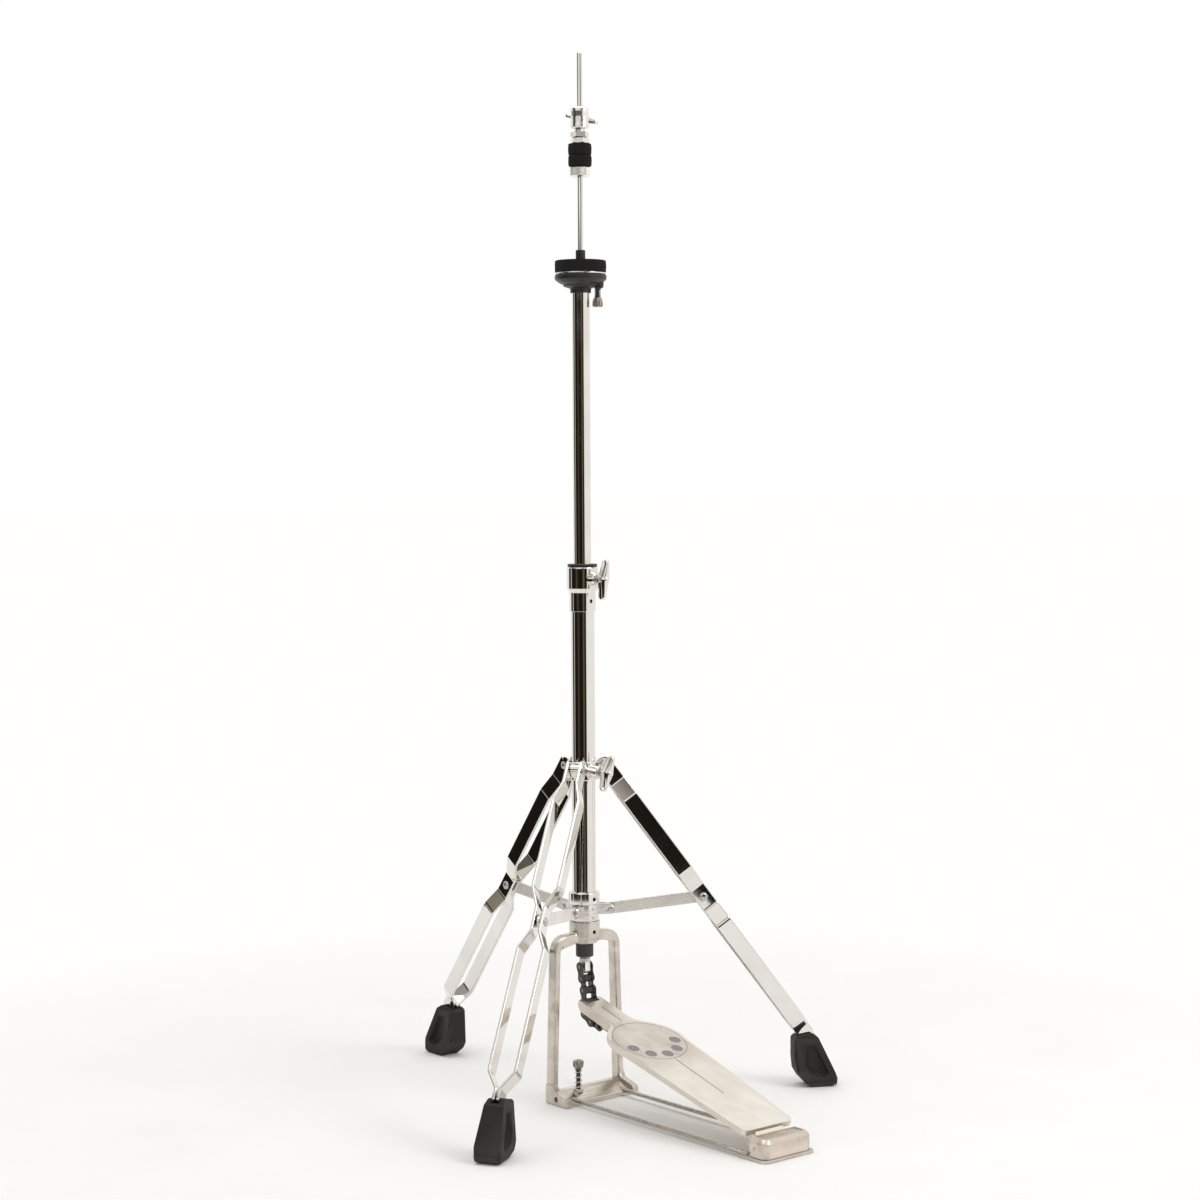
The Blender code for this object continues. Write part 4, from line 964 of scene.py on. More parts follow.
def make_casting():
    """The yoke: collar, arms, legs and wedge feet blended into one casting, then drilled."""
    low, high = extent("base_casting")
    casting = loft("yoke_casting", yoke_loops(), CAST)
    collar_low = 0.167
    radius = 0.0165
    profile = [
        (0, collar_low), (0.0134, collar_low), (radius, collar_low + 0.0066), (radius, high.z), (0, high.z),
    ]
    tools = [lathe("collar", profile, CAST, None, 96, 0)]
    front = low.y
    outline = [
        (0.0060, 0.0002), (0.0060, 0.020), (-0.0052, 0.021), (-0.0088, 0.0148), (front + 0.0020, 0.0098),
        (front + 0.0002, 0.0078), (front + 0.0002, 0.0002),
    ]
    for sign in (-1, 1):
        ends = sorted((sign * (high.x - 0.0077), sign * (high.x - 0.0002)))
        tools.append(prism("foot", outline, ends[0], ends[1], CAST, ALONG_X))
        gusset = [(0.0150, 0.1775), (0.0320, 0.1705), (0.0360, 0.1640), (0.0150, 0.1690)]
        flat = [(sign * x, z) for x, z in gusset]
        tools.append(prism("gusset", flat, -0.0048, 0.0066, CAST, axes((0, 0, 0), FORWARD, (1, 0, 0))))
    carve(casting, tools, "UNION")
    melt(casting, 0.00060, 4)
    tube_radius, tube_low, _ = turned("lower_tube")
    cutters = [drill(tube_radius + SLIP, tube_low - 0.0003, 0.2, None, CAST, 96)]
    cutters.append(drill(0.0055, 0.15, 0.2, None, SOCKET_BLACK_AND_HOLE_SHADE, 48))
    screw_z = collar_low + 0.0130
    # The set-screw hole's wall is painted near-black as shade.
    cutters.append(hole_at((0, -radius, screw_z), FORWARD, 0.0021, 0.0030, SOCKET_BLACK_AND_HOLE_SHADE))
    for sign in (-1, 1):
        rim = (sign * (high.x - 0.0002), *FOOT_SCREW)
        cutters.append(hole_at(rim, (sign, 0, 0), 0.0030, 0.0009, CAST))
    carve(casting, cutters)
    casting.data.shade_smooth()
    casting.data.set_sharp_from_angle(angle=math.radians(50))
    stand_for(casting, "base_casting")
    set_screw("casting_set_screw", "base_casting", (0, -radius + 0.0010, screw_z), FORWARD)
    for sign, label in ((-1, "left"), (1, "right")):
        make_cross_screw(f"foot_screw_{label}", (sign * (high.x - 0.0010), *FOOT_SCREW), (sign, 0, 0))


def make_cross_screw(name, point, direction):
    """A countersunk screw with a cross recess, just below its surface."""
    place = axes(point, direction, (0, 0, 1)) @ Matrix.Rotation(math.radians(20), 4, "Z")
    head = lathe(
        name, [(0, -0.0008), (0.0026, -0.0008), (0.0028, 0.0004, 0.0003), (0, 0.0006)], DARK, place, 48,
    )
    bars = []
    for angle in (0, 90):
        turned_place = place @ Matrix.Rotation(math.radians(angle), 4, "Z")
        # The cross recess's walls are painted near-black as shade.
        bars.append(prism("bar", rectangle(0.0019, 0.00035), -0.0004, 0.002, SOCKET_BLACK_AND_HOLE_SHADE, turned_place))
    carve(head, bars)
    return trim(head, "base_casting")


def make_crossbar():
    """The bar between the feet: a narrow rounded land and a wide slope down to the front."""
    low, high = extent("base_crossbar")
    top = high.z
    outline = [
        (high.y, 0, 0.0006), (high.y, top - 0.0020, 0.0012), (high.y - 0.0020, top - 0.0004, 0.0014),
        (-0.0046, top, 0.0016), (-0.0064, top - 0.0010, 0.0010), (low.y + 0.0008, 0.0052, 0.0008),
        (low.y, 0.0044, 0.0006), (low.y, 0, 0.0004),
    ]
    bar = prism("crossbar_extrusion", fillet(outline, 0.0006), low.x, high.x, CAST, ALONG_X)
    spur_x, spur_y = JOINTS["spur_turn"]["pos_m"][:2]
    boss = [(0, 0.010), (0.0056, 0.010), (0.0054, top + 0.0002, 0.0006), (0, top + 0.0002)]
    place = Matrix.Translation((spur_x, spur_y, 0))
    carve(bar, [lathe("boss", boss, CAST, place, 48, 0)], "UNION")
    cutters = [drill(0.0029, 0.0012, 0.05, place)]
    for label in ("left", "right"):
        rod_low, rod_high = extent(f"radius_rod_{label}")
        centre = ((rod_low.x + rod_high.x) / 2, rod_high.y + 0.0003, (rod_low.z + rod_high.z) / 2)
        cutters.append(drill(0.0025, 0, 0.03, axes(centre, FORWARD, (1, 0, 0))))
    carve(bar, cutters)
    stand_for(soften(bar, 0.0003, 2, 50), "base_crossbar")


def make_spur():
    """The spur bolt: knurled head, thread and lock spring."""
    spur_x, spur_y = JOINTS["spur_turn"]["pos_m"][:2]
    place = Matrix.Translation((spur_x, spur_y, 0))
    low, high = extent("spur_bolt")
    top = high.z
    neck = top - 0.0098
    head = [
        (0, neck), (0.0030, neck), (0.0034, neck + 0.0010, 0.0004), (0.0056, neck + 0.0030, 0.0008),
        (0.0060, top - 0.0020, 0.0008), (0.0052, top, 0.0007), (0.0022, top), (0.0018, top - 0.0008),
        (0, top - 0.0008),
    ]
    grip = lathe("spur_head", head, ZINC_DARK, place, 192, 0.0003, 3, knurl(16, 0.00045))
    shank = [
        (0, low.z), (0.0008, low.z), (0.0022, low.z + 0.0016),
    ] + threaded(0.0025, low.z + 0.0020, neck - 0.0004)
    shank += [(0.0024, neck + 0.0004), (0, neck + 0.0004)]
    thread = lathe("spur_thread", shank, DARK, place, 40, 0.0001, 1)
    stand_for(joined("spur_screw", [grip, thread]), "spur_bolt")
    spring = coil(
        "spur_spring", 0.0036, 0.00062, extent("base_crossbar")[1].z + 0.0008, neck - 0.0002, 4.5, ZINC,
        place,
    )
    trim(spring, "spur_bolt")


def rounded_box_loop(x0, x1, y0, y1, z, back, front):
    """A level rectangle whose -Y corners and +Y corners have their own radii."""
    corners = [(x0, y0, back), (x1, y0, back), (x1, y1, front), (x0, y1, front)]
    return [(x, y, z) for x, y in fillet(corners, 0, True, 8)]


def make_heel():
    """The heel casting on its plate, with hinge ears and pin."""
    low, high = extent("heel_block")
    back, top = low.y, high.z
    front = -0.2895
    x0, x1, z0 = low.x, high.x, low.z
    loops = []
    for z, inset in (
        (z0, 0.0), (top - 0.0044, 0.0), (top - 0.0036, 0.0002), (top - 0.0004, 0.0030), (top, 0.0036),
    ):
        corner = 0.0080 - 0.6 * inset
        loops.append(
            rounded_box_loop(x0 + inset, x1 - inset, back + inset, front - 0.2 * inset, z, corner, 0.0006)
        )
    block = loft("heel_block_casting", loops, HEEL_CAST, None, 30)
    pin_y, pin_z = JOINTS["pedal_press"]["pos_m"][1:]
    ear_radius = 0.0044
    root = front - 0.001
    ear = arc((pin_y, pin_z), ear_radius, 90, -40, 14)
    ear += [(pin_y - 0.001, 0.0052), (root, 0.0052), (root, pin_z + ear_radius)]
    ears = []
    for sign in (-1, 1):
        ends = sorted((sign * 0.0190, sign * 0.0260))
        ears.append(prism("ear", ear, ends[0], ends[1], HEEL_CAST, ALONG_X))
    carve(block, ears, "UNION")
    dish = rounded_box_loop(x0 + 0.006, x1 - 0.006, back + 0.0062, front - 0.0028, 0, 0.004, 0.002)
    cutter = prism("dish", [(x, y) for x, y, _ in dish], top - 0.0008, top + 0.002, HEEL_CAST)
    carve(block, [cutter])
    soften(block, 0.0006, 3, 38)
    hinge = axes((0, pin_y, pin_z), (1, 0, 0), (0, 1, 0))
    stand_for(carve(block, [drill(HINGE_BORE, -0.03, 0.03, hinge)]), "heel_block")
    low, high = extent("heel_pin")
    radius = (high.z - low.z) / 2
    profile = [(0, low.x), (radius, low.x), (radius, high.x), (0, high.x)]
    stand_for(lathe("heel_hinge_pin", profile, ZINC, hinge, 40, 0.0004), "heel_pin")
    low, high = extent("heel_plate")
    loops = [rounded_box_loop(low.x, high.x, low.y, high.y, z, 0.0060, 0.0012) for z in (low.z, high.z)]
    stand_for(soften(loft("heel_foot_plate", loops, HEEL_CAST), 0.0007, 3), "heel_plate")
    for sign, label in ((-1, "left"), (1, "right")):
        place = axes((sign * (x1 - 0.0002), -0.2975, 0.0118), (sign, 0, 0), (0, 0, 1))
        profile = [
            (0, -0.001), (0.0024, -0.001), (0.0024, 0.0004, 0.0006), (0.0010, 0.0012, 0.0006), (0, 0.0012),
        ]
        trim(lathe(f"heel_rivet_{label}", profile, ZINC, place, 32), "heel_block")


# ---------------------------------------------------------------- pedal and chain

BOARD_SLOPE = 16.26
BOARD_LENGTH = 0.2812
DISC_STATION = 0.1870
DISC_RADIUS = 0.0445
CHEEK_LENGTH = 0.0083
CHEEK_INSIDE = 0.0088


def board_place():
    """X across, Y up the slope from the heel edge, Z out of the tread."""
    heel = Vector((0, -0.2850, 0.0267))
    return Matrix.Translation(heel) @ Matrix.Rotation(math.radians(BOARD_SLOPE), 4, "X")


def stadium(start, end, radius, steps=10):
    run = math.degrees(math.atan2(end[1] - start[1], end[0] - start[0]))
    return arc(end, radius, run - 90, run + 90, steps) + arc(start, radius, run + 90, run + 270, steps)


def mirrored(points):
    return points + [(-x, y) for x, y in reversed(points)]


def board_outline(inset=0.0):
    neck, toe = 0.022 + inset, 0.0145 - inset
    heel, corner = 0.0335 - inset, 0.0062
    disc = DISC_RADIUS - inset
    half = arc((-heel + corner, corner + inset), corner, 270, 180, 8)
    half += arc((0, DISC_STATION), disc, 197, 123, 36)
    rise = math.sqrt((disc + neck) ** 2 - (toe + neck) ** 2)
    lean = math.degrees(math.atan2(rise, toe + neck))
    half += arc((-toe - neck, DISC_STATION + rise), neck, -lean, 0, 16)
    tip = BOARD_LENGTH + CHEEK_LENGTH
    half += arc((-toe + 0.0022, tip - 0.0022), 0.0022, 180, 90, 5)
    half += arc((-CHEEK_INSIDE - 0.0010, tip - 0.0010), 0.0010, 90, 0, 3)
    half += arc((-CHEEK_INSIDE + 0.0015, BOARD_LENGTH - inset + 0.0015), 0.0015, 180, 270, 4)
    return mirrored(half)


def make_footboard():
    """The footboard: a rounded plate with a thick toe, a barrel at its heel and marks in its tread."""
    place = board_place()
    thick, toe_thick = 0.0058, 0.0112
    board = prism("footboard_casting", board_outline(), -thick, 0.0, TREAD)
    root = BOARD_LENGTH - 0.052
    toe_side = [
        (root, -0.001), (BOARD_LENGTH - 0.0002, -0.001, 0.0),
        (BOARD_LENGTH - 0.0002, 0.0047 - toe_thick, 0.0014), (BOARD_LENGTH - 0.0048, -toe_thick, 0.0016),
        (root + 0.012, -toe_thick, 0.006), (root, -thick + 0.0002, 0.0),
    ]
    toe = prism("toe", fillet(toe_side, 0.001), -0.0141, 0.0141, TREAD, ALONG_X)
    tip = BOARD_LENGTH + CHEEK_LENGTH
    cheek_side = [
        (BOARD_LENGTH - 0.012, -0.001, 0.0), (tip - 0.0002, -0.001, 0.0),
        (tip - 0.0002, 0.0050 - toe_thick, 0.0024), (tip - 0.0050, -toe_thick, 0.0024),
        (BOARD_LENGTH - 0.012, -toe_thick + 0.0001, 0.0),
    ]
    cheeks = []
    for ends in ((-0.0143, -CHEEK_INSIDE - 0.0002), (CHEEK_INSIDE + 0.0002, 0.0143)):
        cheeks.append(prism("cheek", fillet(cheek_side, 0.0), *ends, TREAD, ALONG_X))
    pin_y, pin_z = JOINTS["pedal_press"]["pos_m"][1:]
    knuckle_side = arc((pin_y, pin_z), 0.0044, 160, 380, 22) + [(pin_y + 0.006, 0.0245), (pin_y, 0.0235)]
    knuckle = prism("knuckle", knuckle_side, -0.0187, 0.0187, TREAD, place.inverted() @ ALONG_X)
    pocket_half = [(-0.029, 0.014)] + arc((0, DISC_STATION), DISC_RADIUS - 0.0045, 197, 127, 24)
    pocket = prism("pocket", fillet(mirrored(pocket_half), 0.002), -0.02, -thick + 0.0025, TREAD)
    carve(board, [pocket])
    ribs = []
    for x in (-0.012, 0.0, 0.012):
        ribs.append(prism("rib", stadium((x, 0.020), (x, 0.205), 0.0012), -thick + 0.0006, -0.002, TREAD))
    carve(board, [toe, knuckle] + cheeks + ribs, "UNION")
    soften(board, 0.0008, 3, 40)
    ring = [(0.0391, -0.0004), (0.0399, -0.0004), (0.0399, 0.001), (0.0391, 0.001)]
    cutters = [lathe("ring", ring, ENAMEL, None, 128, 0)]
    cutters[0].data.transform(Matrix.Translation((0, DISC_STATION, 0)))
    for angle in (-75, -37, 0, 37, 75):
        bearing = math.radians(angle - 90)
        spot = Matrix.Translation((0.0295 * math.cos(bearing), DISC_STATION + 0.0295 * math.sin(bearing), 0))
        cutters.append(drill(0.0064, -0.0003, 0.001, spot, ENAMEL, 48))
    for first, last in ((0.2335, 0.2668), (0.0690, 0.1452)):
        cutters.append(prism("groove", stadium((0, first), (0, last), 0.00055), -0.0006, 0.001, ENAMEL))
    for cutter in cutters:
        carve(board, [cutter])
    hinge = place.inverted() @ axes((0, pin_y, pin_z), (1, 0, 0), (0, 1, 0))
    carve(board, [drill(HINGE_BORE, -0.03, 0.03, hinge)])
    board.data.transform(place)
    stand_for(board, "footboard")


def make_toe_clamp():
    """The chain's clamp under the toe, with its two screws."""
    place = board_place() @ ALONG_X
    top = -0.0115
    start = BOARD_LENGTH - 0.0385
    outline = [
        (start, top), (start, top - 0.0050, 0.0015), (start + 0.0015, top - 0.0065, 0.001),
        (start + 0.0105, top - 0.0065, 0.001), (start + 0.0120, top - 0.0050, 0.0015),
        (start + 0.0120, top),
    ]
    clamp = soften(prism("toe_clamp_block", fillet(outline, 0.0005), -0.0070, 0.0070, ZINC, place), 0.0005, 3)
    screws = []
    for x in (-0.0036, 0.0036):
        spot = board_place() @ Matrix.Translation((x, start + 0.0060, 0)) @ Matrix.Rotation(math.pi, 4, "X")
        head = [
            (0, 0.0170), (0.0023, 0.0170), (0.0023, 0.0189, 0.0005), (0.0012, 0.0190), (0.0012, 0.0180),
            (0, 0.0180),
        ]
        screws.append(lathe("screw", head, DARK, spot, 32, 0.0002))
    stand_for(joined("toe_clamp_assembly", [clamp] + screws), "toe_clamp")


PLATE_HEIGHT = 0.0051


def link_outline(length):
    """A roller chain plate: two round ends with a waist between them."""
    steps = 8
    upper = []
    for i in range(1, steps):
        t = i / steps
        upper.append((length * (1 - t), PLATE_HEIGHT - 0.0012 * math.sin(math.pi * t) ** 2))
    lower = [(x, -y) for x, y in reversed(upper)]
    return arc(
        (length, 0), PLATE_HEIGHT, -90, 90, 14,
    ) + upper + arc((0, 0), PLATE_HEIGHT, 90, 270, 14) + lower


def make_link(name, start, end, outer, bores=(CHAIN_BORE, CHAIN_BORE)):
    """A chain link: two waisted plates, with riveted pins on an outer link and rollers on an inner one."""
    length = (end - start).length
    place = axes(start, (1, 0, 0), end - start)
    low, high = (0.0061, 0.0076) if outer else (0.0042, 0.0057)
    outline = link_outline(length)
    pieces = []
    for near, far in ((low, high), (-high, -low)):
        pieces.append(soften(prism("plate", outline, near, far, CHAIN), 0.0003, 2))
    for x, bore in zip((0.0, length), bores):
        spot = Matrix.Translation((x, 0, 0))
        if outer:
            ends = high + 0.0008
            profile = [
                (0, -ends), (0.0014, -ends, 0.0003), (0.0022, -ends + 0.0006), (0.0022, ends - 0.0006),
                (0.0014, ends, 0.0003), (0, ends),
            ]
            pieces.append(lathe("pin", profile, CHAIN_PIN, spot, 32, 0.0002))
        else:
            ends = low + 0.0002
            profile = [(bore, -ends), (0.0040, -ends), (0.0040, ends), (bore, ends)]
            pieces.append(lathe("roller", profile, CHAIN, spot, 40, 0.0003))
    if not outer:
        for x, bore in zip((0.0, length), bores):
            for plate in pieces[:2]:
                carve(plate, [drill(bore, -0.02, 0.02, Matrix.Translation((x, 0, 0)), CHAIN)])
    link = joined(name, pieces)
    link.data.transform(place)
    return link


def make_chain():
    """The run of three links that swings on the rod end, and the links that wrap the toe."""
    top = Vector(JOINTS["chain_swing"]["pos_m"])
    lean, pitch = math.radians(12), 0.0127
    step = Vector((0, -math.sin(lean), -math.cos(lean))) * pitch
    pins = [top + step * i for i in range(4)]
    nodes = ("chain_outer_link_1", "chain_inner_link_2", "chain_outer_link_3")
    for i, node in enumerate(nodes):
        stand_for(make_link(node + "_riveted", pins[i], pins[i + 1], i != 1), node)
    wrap = [
        Vector((0, y, z))
        for y, z in ((-0.0079, 0.1037), (-0.0068, 0.0911), (-0.0174, 0.0841), (-0.0298, 0.0813))
    ]
    links = [
        make_link("link", wrap[0], wrap[1], False, (0.0034, CHAIN_BORE)),
        make_link("link", wrap[1], wrap[2], True),
        make_link("link", wrap[2], wrap[3], False),
    ]
    stand_for(joined("toe_chain_links", links), "toe_chain")


def make_rod_end():
    """The rod's end: a turned socket over a flat tongue for the chain's first pin."""
    low, high = extent("rod_end")
    pin = Vector(JOINTS["chain_swing"]["pos_m"])
    profile = [
        (0, 0.1463), (0.0056, 0.1463), (0.0058, 0.1472, 0.0004), (0.0058, 0.1500, 0.0005),
        (0.0052, 0.1506, 0.0003), (0.0052, 0.1516, 0.0003), (0.0036, 0.1518, 0.0003), (0.0035, high.z),
        (0, high.z),
    ]
    socket = lathe("rod_end_turned", profile, ZINC, None, 64)
    bottom = pin.z - 0.0025
    outline = [(-0.0052, 0.1475), (-0.0052, bottom)] + arc((0, bottom), 0.0052, 180, 360, 20)[1:-1]
    outline += [(0.0052, bottom), (0.0052, 0.1475)]
    tongue = prism("tongue", outline, -0.0034, 0.0034, ZINC, ALONG_X)
    carve(socket, [tongue], "UNION")
    soften(socket, 0.0005, 3, 40)
    carve(socket, [drill(CHAIN_BORE, -0.01, 0.01, axes(pin, (1, 0, 0), (0, 1, 0)))])
    stand_for(socket, "rod_end")
    radius, low, high = turned("rod_bumper")
    profile = [
        (0.0042, low), (radius - 0.0006, low, 0.0006), (radius, low + 0.0010, 0.0008), (radius, high),
        (0.0042, high),
    ]
    stand_for(lathe("bumper_moulding", profile, BUMPER, None, 96, 0.0006), "rod_bumper")


# ---------------------------------------------------------------- tripod

LEG_TILT = 36.4
BRACE_STATION = 0.1786
STRIP_THICK = 0.003
STRIP_HALF_WIDTH = 0.009
PINCH = 0.0045
STRIP_STATIONS = (
    (-0.0110, 0.0073),
    (0.020, 0.0073),
    (0.041, 0.0140),
    (0.142, 0.0140),
    (0.165, PINCH),
    (0.192, PINCH),
    (0.212, 0.0140),
    (0.345, 0.0140),
    (0.363, 0.0023),
    (0.378, 0.0023),
)


def home(joint, letter):
    """A leg joint's pivot, turned back to a leg over +X."""
    return turn(-LEG_ANGLES[letter]) @ Vector(JOINTS[joint.format(letter)]["pos_m"])


def leg_place():
    """X down the leg from its pivot, Y across it, Z out of its upper face, for a leg over +X."""
    tilt = math.radians(LEG_TILT)
    return axes(
        home("leg_{}_fold", "a"), (math.cos(tilt), 0, math.sin(tilt)), (math.sin(tilt), 0, -math.cos(tilt)),
    )


def brace_pivot():
    return leg_place() @ Vector((BRACE_STATION, 0, 0))


def make_strip(sign):
    """A leg's bent strip with rolled edges, a round top end and its domed rivet."""
    path = fillet([(s, sign * offset) for s, offset in STRIP_STATIONS], 0.009, False, 6)
    half, wide = STRIP_THICK / 2, STRIP_HALF_WIDTH
    section = fillet(rectangle(half, wide), 0.0011, True, 4)
    strip = sweep("strip", path, section, CHROME)
    end = STRIP_STATIONS[-1][0] - wide
    carve(
        strip,
        [prism("outline", stadium((0, 0), (end, 0), wide + 0.00001, 24), -0.02, 0.02, CHROME, ALONG_Y)],
        "INTERSECT",
    )
    cross = axes((BRACE_STATION, 0, 0), (0, sign, 0), (1, 0, 0))
    outside = PINCH + half
    profile = [
        (0, 0.0019), (0.0036, 0.0019), (0.0036, outside - 0.0002), (0.0046, outside - 0.0002),
        (0.0046, outside + 0.0005, 0.0004), (0.0030, outside + 0.0018, 0.0012), (0, outside + 0.0022),
    ]
    carve(strip, [lathe("rivet", profile, RIVET, cross, 48, 0.0002)], "UNION")
    carve(strip, [drill(LEG_PIN_BORE, -0.02, 0.02, axes((0, 0, 0), (0, 1, 0), (1, 0, 0)))])
    strip.data.transform(leg_place())
    return strip


def domed_pin(radius, half, head, height, place):
    """A rivet through a joint, with a dome on both ends."""
    dome = [
        (0, half + height), (0.55 * head, half + 0.75 * height, 0.5 * height), (head, half, 0.25 * height),
        (head, half - 0.0006),
    ]
    profile = [(0, -half - height)] + [(r, -z, *rest) for r, z, *rest in dome[1:]] + [
        (radius, -half + 0.0006), (radius, half - 0.0006),
    ]
    profile += list(reversed(dome))
    return lathe("pin", profile, RIVET, place, 48, 0.0001)


SHOE_CUT = 0.0036


def make_shoe():
    """A rubber foot: a wedge with chamfered corners and a D-shaped hollow in each side."""
    profile = [
        (0.2462, 0.0), (0.2372, 0.0080, 0.003), (0.2308, 0.0185, 0.006), (0.2290, 0.0330, 0.006),
        (0.2292, 0.0520, 0.004), (0.2330, 0.0556, 0.002), (0.2480, 0.0585, 0.002), (0.2555, 0.0540, 0.002),
        (0.2769, 0.0085, 0.0025), (0.2758, 0.0030, 0.0025), (0.2700, 0.0, 0.001),
    ]
    shoe = prism("shoe", fillet(profile, 0.001, True, 6), -0.0190, 0.0190, RUBBER, ALONG_Y)
    front = [
        (-0.0110, -0.001), (-0.0144, 0.0060, 0.003), (-0.0142, 0.0180, 0.006), (-0.0106, 0.0535, 0.003),
        (-0.0084, 0.0600),
    ]
    outline = [(x, z, *rest) for x, z, *rest in front] + [(-x, z, *rest) for x, z, *rest in reversed(front)]
    carve(shoe, [prism("taper", fillet(outline, 0.0008, True, 6), 0.2, 0.3, RUBBER, ALONG_X)], "INTERSECT")
    for sign in (-1, 1):
        for edge, inward in ((0.2770, -1), (0.2300, 1)):
            corner = [
                (edge + inward * (SHOE_CUT + 0.002), sign * 0.0164), (edge - inward * 0.010, sign * 0.0164),
            ]
            corner.append((edge - inward * 0.010, sign * (0.0144 - SHOE_CUT - 0.010)))
            carve(shoe, [prism("corner", corner, -0.01, 0.08, RUBBER)])
    soften(shoe, 0.0020, 4, 24)
    hollow = [
        (0.2408, 0.0470, 0.003), (0.2512, 0.0470, 0.003), (0.2664, 0.0150, 0.0024), (0.2600, 0.0110, 0.004),
        (0.2476, 0.0138, 0.009), (0.2400, 0.0245, 0.009),
    ]
    outline = fillet(hollow, 0.003, True, 8)
    for sign in (-1, 1):
        loops = []
        for offset, grow in ((0.0300, 1.0), (0.0122, 1.0), (0.0090, 0.82)):
            centre = Vector((0.2530, 0.0290))
            loops.append(
                [((Vector(p) - centre) * grow + centre).to_tuple() + (sign * offset,) for p in outline]
            )
        cutter = loft("hollow", loops, RUBBER, ALONG_Y)
        carve(shoe, [cutter])
    reach, wide = 0.0023 + STRIP_THICK / 2 + 0.0003, STRIP_HALF_WIDTH + 0.0003
    slot = [(0.330, -reach), (0.3783, -reach), (0.3783, reach), (0.330, reach)]
    carve(shoe, [prism("slot", slot, -wide, wide, RUBBER, leg_place())])
    return shoe


def make_legs():
    """Three legs, each with two strips, a shoe and its pin; the legs are one shape turned about the tube."""
    strips = {"left": make_strip(1), "right": make_strip(-1)}
    shoe = make_shoe()
    pin = domed_pin(0.0025, 0.0089, 0.0042, 0.0018, axes(home("leg_{}_fold", "a"), (0, 1, 0), (1, 0, 0)))
    brace, hub_pin = make_brace()
    for letter, angle in LEG_ANGLES.items():
        for side, strip in strips.items():
            stand_for(copied(strip, f"leg_{letter}_{side}_bar", turn(angle)), f"leg_{letter}_{side}_strip")
        stand_for(copied(shoe, f"leg_{letter}_shoe", turn(angle)), f"leg_{letter}_foot")
        stand_for(copied(pin, f"leg_{letter}_rivet", turn(angle)), f"leg_{letter}_pin")
        stand_for(copied(brace, f"brace_{letter}_bar", turn(angle)), f"brace_{letter}")
        stand_for(copied(hub_pin, f"brace_{letter}_rivet", turn(angle)), f"brace_{letter}_pin")
    for master in list(strips.values()) + [shoe, pin, brace, hub_pin]:
        bpy.data.objects.remove(master)


def make_brace():
    """The flat brace over +X and the rivet that holds it in the hub."""
    hub = home("brace_{}_fold", "a")
    end = brace_pivot()
    brace = prism(
        "brace", stadium((hub.x, hub.z), (end.x, end.z), 0.0064, 20), -0.0016, 0.0016, SATIN, ALONG_Y,
    )
    soften(brace, 0.0005, 3)
    carve(brace, [drill(HINGE_BORE, -0.02, 0.02, axes(hub, (0, 1, 0), (1, 0, 0)))])
    pin = domed_pin(0.0020, 0.0052, 0.0034, 0.0016, axes(hub, (0, 1, 0), (1, 0, 0)))
    return brace, pin


def make_hub():
    """The braces' hub: two clamped rings with a joint line, and a clevis for each brace."""
    _, low, high = turned("brace_hub")
    radius = 0.0158
    bore = turned("lower_tube")[0] + SLIP
    middle = (low + high) / 2 - 0.0004
    profile = [
        (bore, low), (radius, low, 0.0007), (radius, middle - 0.0003, 0.0002),
        (radius - 0.0005, middle - 0.0002), (radius - 0.0005, middle + 0.0002),
        (radius, middle + 0.0003, 0.0002), (radius, high, 0.0007), (bore, high),
    ]
    hub = lathe("brace_hub_rings", profile, HUB_SATIN, None, 128, 0.0002)
    pivot_point = home("brace_{}_fold", "a")
    outline = [(0.0140, pivot_point.z + 0.0056), (0.0140, pivot_point.z - 0.0056)]
    outline += arc((pivot_point.x, pivot_point.z), 0.0056, -90, 90, 20)
    cheeks, holes = [], []
    for angle in LEG_ANGLES.values():
        for near, far in ((-0.0052, -0.0020), (0.0020, 0.0052)):
            cheeks.append(prism("cheek", outline, near, far, HUB_SATIN, turn(angle) @ ALONG_Y))
        across = turn(angle) @ axes(pivot_point, (0, 1, 0), (1, 0, 0))
        holes.append(drill(HINGE_BORE, -0.01, 0.01, across))
    carve(hub, cheeks, "UNION")
    soften(hub, 0.0005, 3, 40)
    stand_for(carve(hub, holes), "brace_hub")
    for i, angle in enumerate((-90, 30, 150)):
        spot = turn(angle)
        for level, z in enumerate((low + 0.0042, high - 0.0042)):
            place = spot @ axes((radius - 0.0004, 0, z), (1, 0, 0), (0, 0, 1))
            profile = [
                (0, -0.001), (0.0020, -0.001), (0.0020, 0.0007, 0.0005), (0.0008, 0.0012, 0.0005),
                (0, 0.0012),
            ]
            trim(lathe(f"hub_rivet_{i}_{level}", profile, RIVET, place, 32), "brace_hub")


def make_stop_ring():
    radius, low, high = turned("stop_ring")
    bore = turned("lower_tube")[0] + SLIP
    profile = [
        (bore, low), (radius, low, 0.0006), (radius, high, 0.0010), (bore + 0.0002, high, 0.0004),
        (bore, high - 0.0006),
    ]
    ring = lathe("stop_ring_turned", profile, CHROME, None, 128)
    screw_z = (low + high) / 2 - 0.0006
    # The set-screw hole's wall is painted near-black as shade.
    carve(ring, [hole_at((0, -radius, screw_z), FORWARD, 0.0021, 0.0036, SOCKET_BLACK_AND_HOLE_SHADE)])
    stand_for(ring, "stop_ring")
    set_screw("stop_set_screw", "stop_ring", (0, -radius + 0.0009, screw_z), FORWARD)


